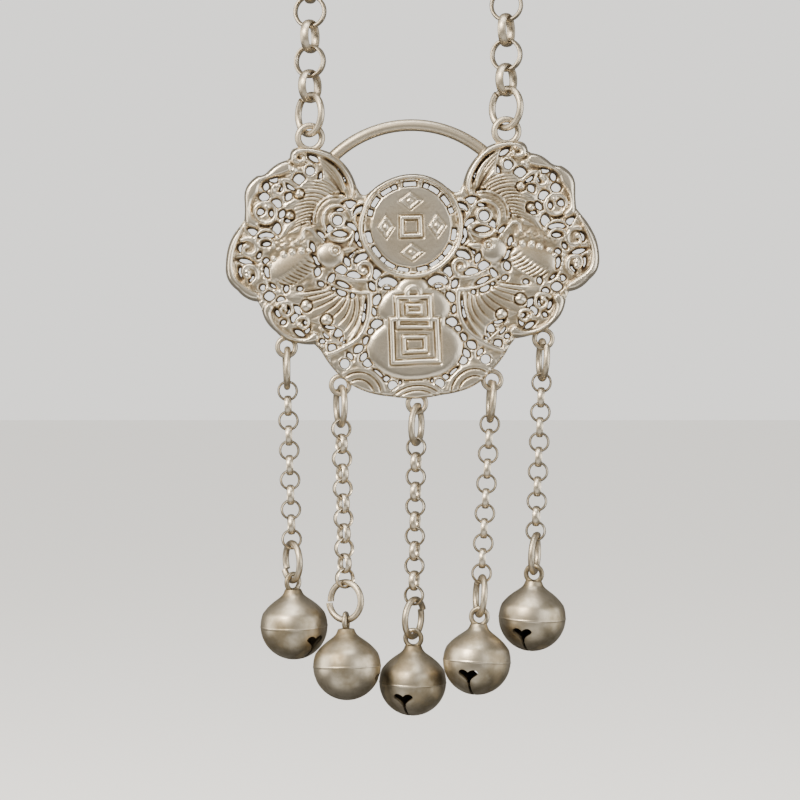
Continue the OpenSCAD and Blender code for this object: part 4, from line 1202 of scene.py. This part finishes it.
def neck_path():
    """The chain's path from the left ring over the nape to the right, with the length run at each point."""
    strand = (EYE_RIGHT[0] - EYE_LEFT[0]) / 2
    share, back, low = SIDE_PULL_LOW
    bend = Vector((strand, 0, BEND))
    lower = [bend, Vector((strand, 0, BEND + BEND_PULL)),
             Vector((NECK_HALF * share, SIDE.y - back, SIDE.z - low)), SIDE]
    back, high = SIDE_PULL_HIGH
    upper = [SIDE, Vector((NECK_HALF, SIDE.y + back, SIDE.z + high)),
             Vector((NECK_HALF * NAPE_PULL, NAPE.y, NAPE.z)), NAPE]
    right = [Vector((strand, 0, EYE_RIGHT[1] + LINK_UP)), bend] + pulled(lower, 70) + pulled(upper, 50)
    left = [Vector((-strand, 0, EYE_LEFT[1] + LINK_UP))] + [Vector((-p.x, p.y, p.z)) for p in right[1:]]
    path = left + right[-2::-1]
    run = [0.0]
    for a, b in zip(path[:-1], path[1:]):
        run.append(run[-1] + (b - a).length)
    return np.array([tuple(p) for p in path]), np.array(run)


def neck_places():
    """A matrix for each neck link: its X is the front, its Z the way along."""
    path, run = neck_path()
    length = run[-1]
    count = 2 * round(length / (2 * NECK_LINK_IN - NECK_CLEAR) / 2) + 1
    pitch = length / (count - 1)

    def at(s):
        return Vector([float(np.interp(s, run, path[:, c])) for c in range(3)])

    places = []
    for i in range(count):
        s = i * pitch
        p = at(s)
        t = (at(s + 1.5) - at(s - 1.5)).normalized()
        out = Vector((p.x * 0.9, p.y - SIDE.y * 0.95, 0))
        ease = min(1, max(0, (min(s, length - s) - NECK_RISE - TWIST_AFTER) / TWIST_OVER))
        want = Vector((0, -1, 0)) * (1 - ease) + out.normalized() * ease
        front = (want - t * want.dot(t)).normalized()
        flank = t.cross(front)
        place = Matrix([(front[c], flank[c], t[c], (p[c] - NAPE[c]) * MM) for c in range(3)] + [(0, 0, 0, 1)])
        hand = -1 if i < count / 2 else 1
        foot = max(0, 1 - min(i, count - 1 - i) / FOOT_LINKS)
        places.append(place @ turn("Z", (90 if i % 2 == 0 else 0) + hand * FOOT_TURN * foot))
    return places


class PENDANT_OT_neck_chain(bpy.types.Operator):
    """Links the neck chain, its whole loop, with its two jump rings"""
    bl_idname = "pendant.neck_chain"
    bl_label = "Neck chain"

    def execute(self, context):
        template = link("neck_link", NECK_LINK, NECK_MORE, around=36, section=10)
        obj = copies(template, neck_places(), "neck_chain_links")
        remove(template)
        set_wear_and_painted_light(obj, WEAR_NECK_CHAIN)
        dress(obj, material("wire"), ["neck_chain"])
        for side, eye, degrees in (("left", EYE_LEFT, 36), ("right", EYE_RIGHT, 42)):
            ring = open_ring("neck_ring_" + side + "_wire", NECK_RING, RING_MORE, gap=3, offset=0.5)
            at = (Vector((eye[0], 0, eye[1] + RING_UP)) - NAPE) * MM
            ring.data.transform(Matrix.Translation(at) @ turn("Z", degrees) @ turn("Y", 90) @ turn("Z", 140))
            set_wear_and_painted_light(ring, WEAR_NECK_RING)
            dress(ring, material("wire"), ["neck_ring_" + side])
        return {"FINISHED"}


class PENDANT_OT_strands(bpy.types.Operator):
    """Hangs the five small chains with their jump rings"""
    bl_idname = "pendant.strands"
    bl_label = "Small chains and rings"

    def execute(self, context):
        template = link("drop_link", DROP_LINK, DROP_MORE, around=30, section=8)
        for i, (_, _, _, _, ring_turn, top, foot, low_turn, _) in enumerate(STRANDS):
            n = str(i + 1)
            for part, s, degrees, cut in (("upper", RING_A, ring_turn, 120), ("lower", RING_Z, low_turn, 60)):
                ring = open_ring("ring_" + part + "_wire_" + n, DROP_RING, RING_MORE, gap=4, offset=0.55)
                ring.data.transform(down(i, s) @ turn("Z", degrees) @ turn("Y", 90) @ turn("Z", cut + 25 * i))
                set_wear_and_painted_light(ring, WEAR_DROP_RING)
                dress(ring, material("wire"), ["ring_" + part + "_" + n])
            places = []
            for j in range(DROP_LINKS):
                twist = top + (foot - top) * j / (DROP_LINKS - 1) + (90 if j % 2 == 0 else 0)
                places.append(down(i, LINK_A + j * DROP_PITCH) @ turn("Z", twist))
            chain = copies(template, places, "drop_chain_links_" + n)
            set_wear_and_painted_light(chain, WEAR_DROP_CHAIN)
            dress(chain, material("wire"), ["drop_chain_" + n])
        remove(template)
        return {"FINISHED"}


def bell_section():
    """The bell's wall as two open profiles, radius and height: outside and inside, bottom to neck."""
    outer = []
    for degrees in [-90 + 3.44 * i for i in range(26)] + NEAR_SEAM + [4 + 3.8 * i for i in range(6)]:
        a = math.radians(degrees)
        seam = 0.07 * math.exp(-(degrees / 1.3) ** 2)
        outer.append(((BELL_R + seam) * math.cos(a), BELL_R * math.sin(a)))
    inner = [(max(0.0, r * INNER_SHARE), z * INNER_SHARE) for r, z in outer]
    return outer + SHOULDER_OUT, inner + SHOULDER_IN


class PENDANT_OT_bells(bpy.types.Operator):
    """Spins the bells, cuts their slits and hearts, and drops a ball in each"""
    bl_idname = "pendant.bells"
    bl_label = "Bells"

    def heart(self):
        """A wide heart-shaped cutter along Y, its point down."""
        points = HEART + [(-x, z) for x, z in HEART[:0:-1]]
        n = len(points)
        ends = [(x * MM, y * MM, z * MM) for y in (HEART_NEAR, HEART_FAR) for x, z in points]
        walls = [(i, (i + 1) % n, (i + 1) % n + n, i + n) for i in range(n)]
        shape = bpy.data.meshes.new("heart")
        shape.from_pydata(ends, [], walls + [tuple(range(n))[::-1], tuple(range(n, 2 * n))])
        return new_object("heart", shape)

    def shell(self):
        """The bell's whole wall, its inner faces pointing into the hollow."""
        outer, inner = bell_section()
        ring = outer + inner[::-1]
        mesh = bpy.data.meshes.new("bell_wall")
        mesh.from_pydata([(r * MM, 0, z * MM) for r, z in ring],
                         [(i, i + 1) for i in range(len(ring) - 1) if i != len(outer) - 1], [])
        obj = new_object("bell_wall", mesh)
        spin_round(obj, steps=72, degrees=360, merge=True)
        for face in obj.data.polygons:
            if face.center.length < INSIDE_FACE * MM:
                face.flip()
        obj.data.update()
        return obj

    def cut(self, obj, cutter):
        """Cuts a shape out of a wall."""
        step = obj.modifiers.new("cut", "BOOLEAN")
        step.operation = "DIFFERENCE"
        step.solver = "EXACT"
        step.object = cutter
        select_only(obj)
        bpy.ops.object.modifier_apply(modifier=step.name)
        remove(cutter)

    def execute(self, context):
        wall = self.shell()
        clear_selection()
        bpy.ops.mesh.primitive_cube_add(size=1, location=(0, 0, -SLIT[2] * MM), scale=[v * MM for v in SLIT])
        slit = added("slit")
        apply_place(slit)
        self.cut(wall, slit)
        for side in (0, 180):
            heart = self.heart()
            heart.data.transform(turn("Z", side) @ turn("X", -HEART_TILT))
            self.cut(wall, heart)
        loop = torus("loop", LOOP_IN + LOOP_WIRE, LOOP_WIRE, around=32, section=12)
        apply_place(loop, Matrix.Translation((0, 0, LOOP_Z * MM)) @ turn("X", 90))
        template = joined([wall, loop], "bell_template")
        co = np.zeros(len(template.data.vertices) * 3)
        template.data.vertices.foreach_get("co", co)
        x, y, z = co.reshape(-1, 3).T / MM
        # Darker near the neck where hands don't rub it, and a painted highlight: a bright line along the
        # seam.
        wear_and_painted_light = WEAR_BELL - 0.25 * trough(z - 7.0, 0.9) + 0.12 * trough(z, 0.12)
        # Painted shade: every point of the inside is coloured dark, for the shade in the hollow.
        wear_and_painted_light = np.where(np.hypot(np.hypot(x, y), z) < INSIDE_POINT, INSIDE_PAINTED_SHADE, wear_and_painted_light)
        set_wear_and_painted_light(template, np.clip(wear_and_painted_light, 0, 1))
        clear_selection()
        bpy.ops.mesh.primitive_uv_sphere_add(segments=24, ring_count=14, radius=BALL_R * MM)
        ball = added("ball")
        for i, row in enumerate(STRANDS):
            n = str(i + 1)
            bell = copies(template, [down(i, BELL_Z) @ turn("Z", row[8])], "bell_shell_" + n)
            dress(bell, material("bell"), ["bell_" + n], smooth=35)
            low = BELL_Z + BELL_R - BELL_WALL - BALL_R - BALL_CLEAR
            pellet = copies(ball, [down(i, low)], "loose_ball_" + n)
            dress(pellet, material("pellet"), ["pellet_" + n])
        remove(template)
        remove(ball)
        return {"FINISHED"}


class PENDANT_OT_stage(bpy.types.Operator):
    """Sets the floor, the lights and the camera"""
    bl_idname = "pendant.stage"
    bl_label = "Stage"

    def execute(self, context):
        clear_selection()
        bpy.ops.mesh.primitive_plane_add(size=FLOOR_SIZE, location=(0, 0, FLOOR_Z))
        floor = added("floor")
        # Matt painted board: it gives the openings a pale ground.
        pale = bpy.data.materials.new("pale_floor")
        pale.use_nodes = True
        shader = pale.node_tree.nodes["Principled BSDF"]
        shader.inputs["Base Color"].default_value = linear("E4E2DE")
        shader.inputs["Roughness"].default_value = 0.85
        floor.data.materials.append(pale)
        floor.visible_glossy = False

        world = bpy.data.worlds.new("pale_room")
        context.scene.world = world
        world.use_nodes = True
        tree = world.node_tree
        tree.nodes.clear()
        rays = add(tree, "ShaderNodeLightPath").outputs
        seen, around, mirrored = (
            add(tree, "ShaderNodeBackground", {"Color": linear(ROOM), "Strength": strength}).outputs[0]
            for strength in (ROOM_SEEN, ROOM_LIGHT, ROOM_MIRRORED))
        glossy = add(tree, "ShaderNodeMixShader", {}, {"Fac": rays["Is Glossy Ray"], 1: around, 2: mirrored})
        blend = add(tree, "ShaderNodeMixShader", {},
                    {"Fac": rays["Is Camera Ray"], 1: glossy.outputs[0], 2: seen})
        add(tree, "ShaderNodeOutputWorld", {}, {"Surface": blend.outputs[0]})

        for name, place, size, power, tint in LIGHTS:
            lamp = bpy.data.lights.new(name, "AREA")
            lamp.energy = power
            lamp.shape = "RECTANGLE"
            lamp.size, lamp.size_y = size
            lamp.color = linear(tint)[:3]
            box = new_object(name, lamp)
            box.location = place
            box.rotation_euler = (Vector(AIM) - Vector(place)).to_track_quat("-Z", "Y").to_euler()

        away = context.scene.pendant_sizes.camera_away
        lens = bpy.data.cameras.new("photo_camera")
        lens.sensor_width = SENSOR
        lens.lens = SENSOR * away / VIEW_SPAN
        camera = new_object("photo_camera", lens)
        camera.location = -NAPE * MM + VIEW_MIDDLE + Vector((0, -away, 0))
        camera.rotation_euler = (math.pi / 2, 0, 0)
        context.scene.camera = camera
        return {"FINISHED"}


class PENDANT_PT_panel(bpy.types.Panel):
    """Lists the pieces of the pendant"""
    bl_idname = "PENDANT_PT_panel"
    bl_label = "Pendant"
    bl_space_type = "VIEW_3D"
    bl_region_type = "UI"
    bl_category = "Pendant"

    def draw(self, context):
        layout = self.layout
        for group in (context.scene.pendant_sizes, context.scene.pendant_finish):
            for name in group.bl_rna.properties.keys():
                if name not in ("rna_type", "name"):
                    layout.prop(group, name)
        for operator in OPERATORS:
            layout.operator(operator.bl_idname)


OPERATORS = (PENDANT_OT_plaque, PENDANT_OT_eyes, PENDANT_OT_neck_chain, PENDANT_OT_strands, PENDANT_OT_bells,
             PENDANT_OT_stage)
CLASSES = (PendantFinish, PendantSizes) + OPERATORS + (PENDANT_PT_panel,)


def register():
    for cls in CLASSES:
        bpy.utils.register_class(cls)
    bpy.types.Scene.pendant_finish = bpy.props.PointerProperty(type=PendantFinish)
    bpy.types.Scene.pendant_sizes = bpy.props.PointerProperty(type=PendantSizes)


def unregister():
    del bpy.types.Scene.pendant_sizes
    del bpy.types.Scene.pendant_finish
    for cls in reversed(CLASSES):
        bpy.utils.unregister_class(cls)


def main():
    register()
    bpy.ops.pendant.plaque()
    bpy.ops.pendant.eyes()
    bpy.ops.pendant.neck_chain()
    bpy.ops.pendant.strands()
    bpy.ops.pendant.bells()
    bpy.ops.pendant.stage()
    clear_selection()


if __name__ == "__main__":
    main()
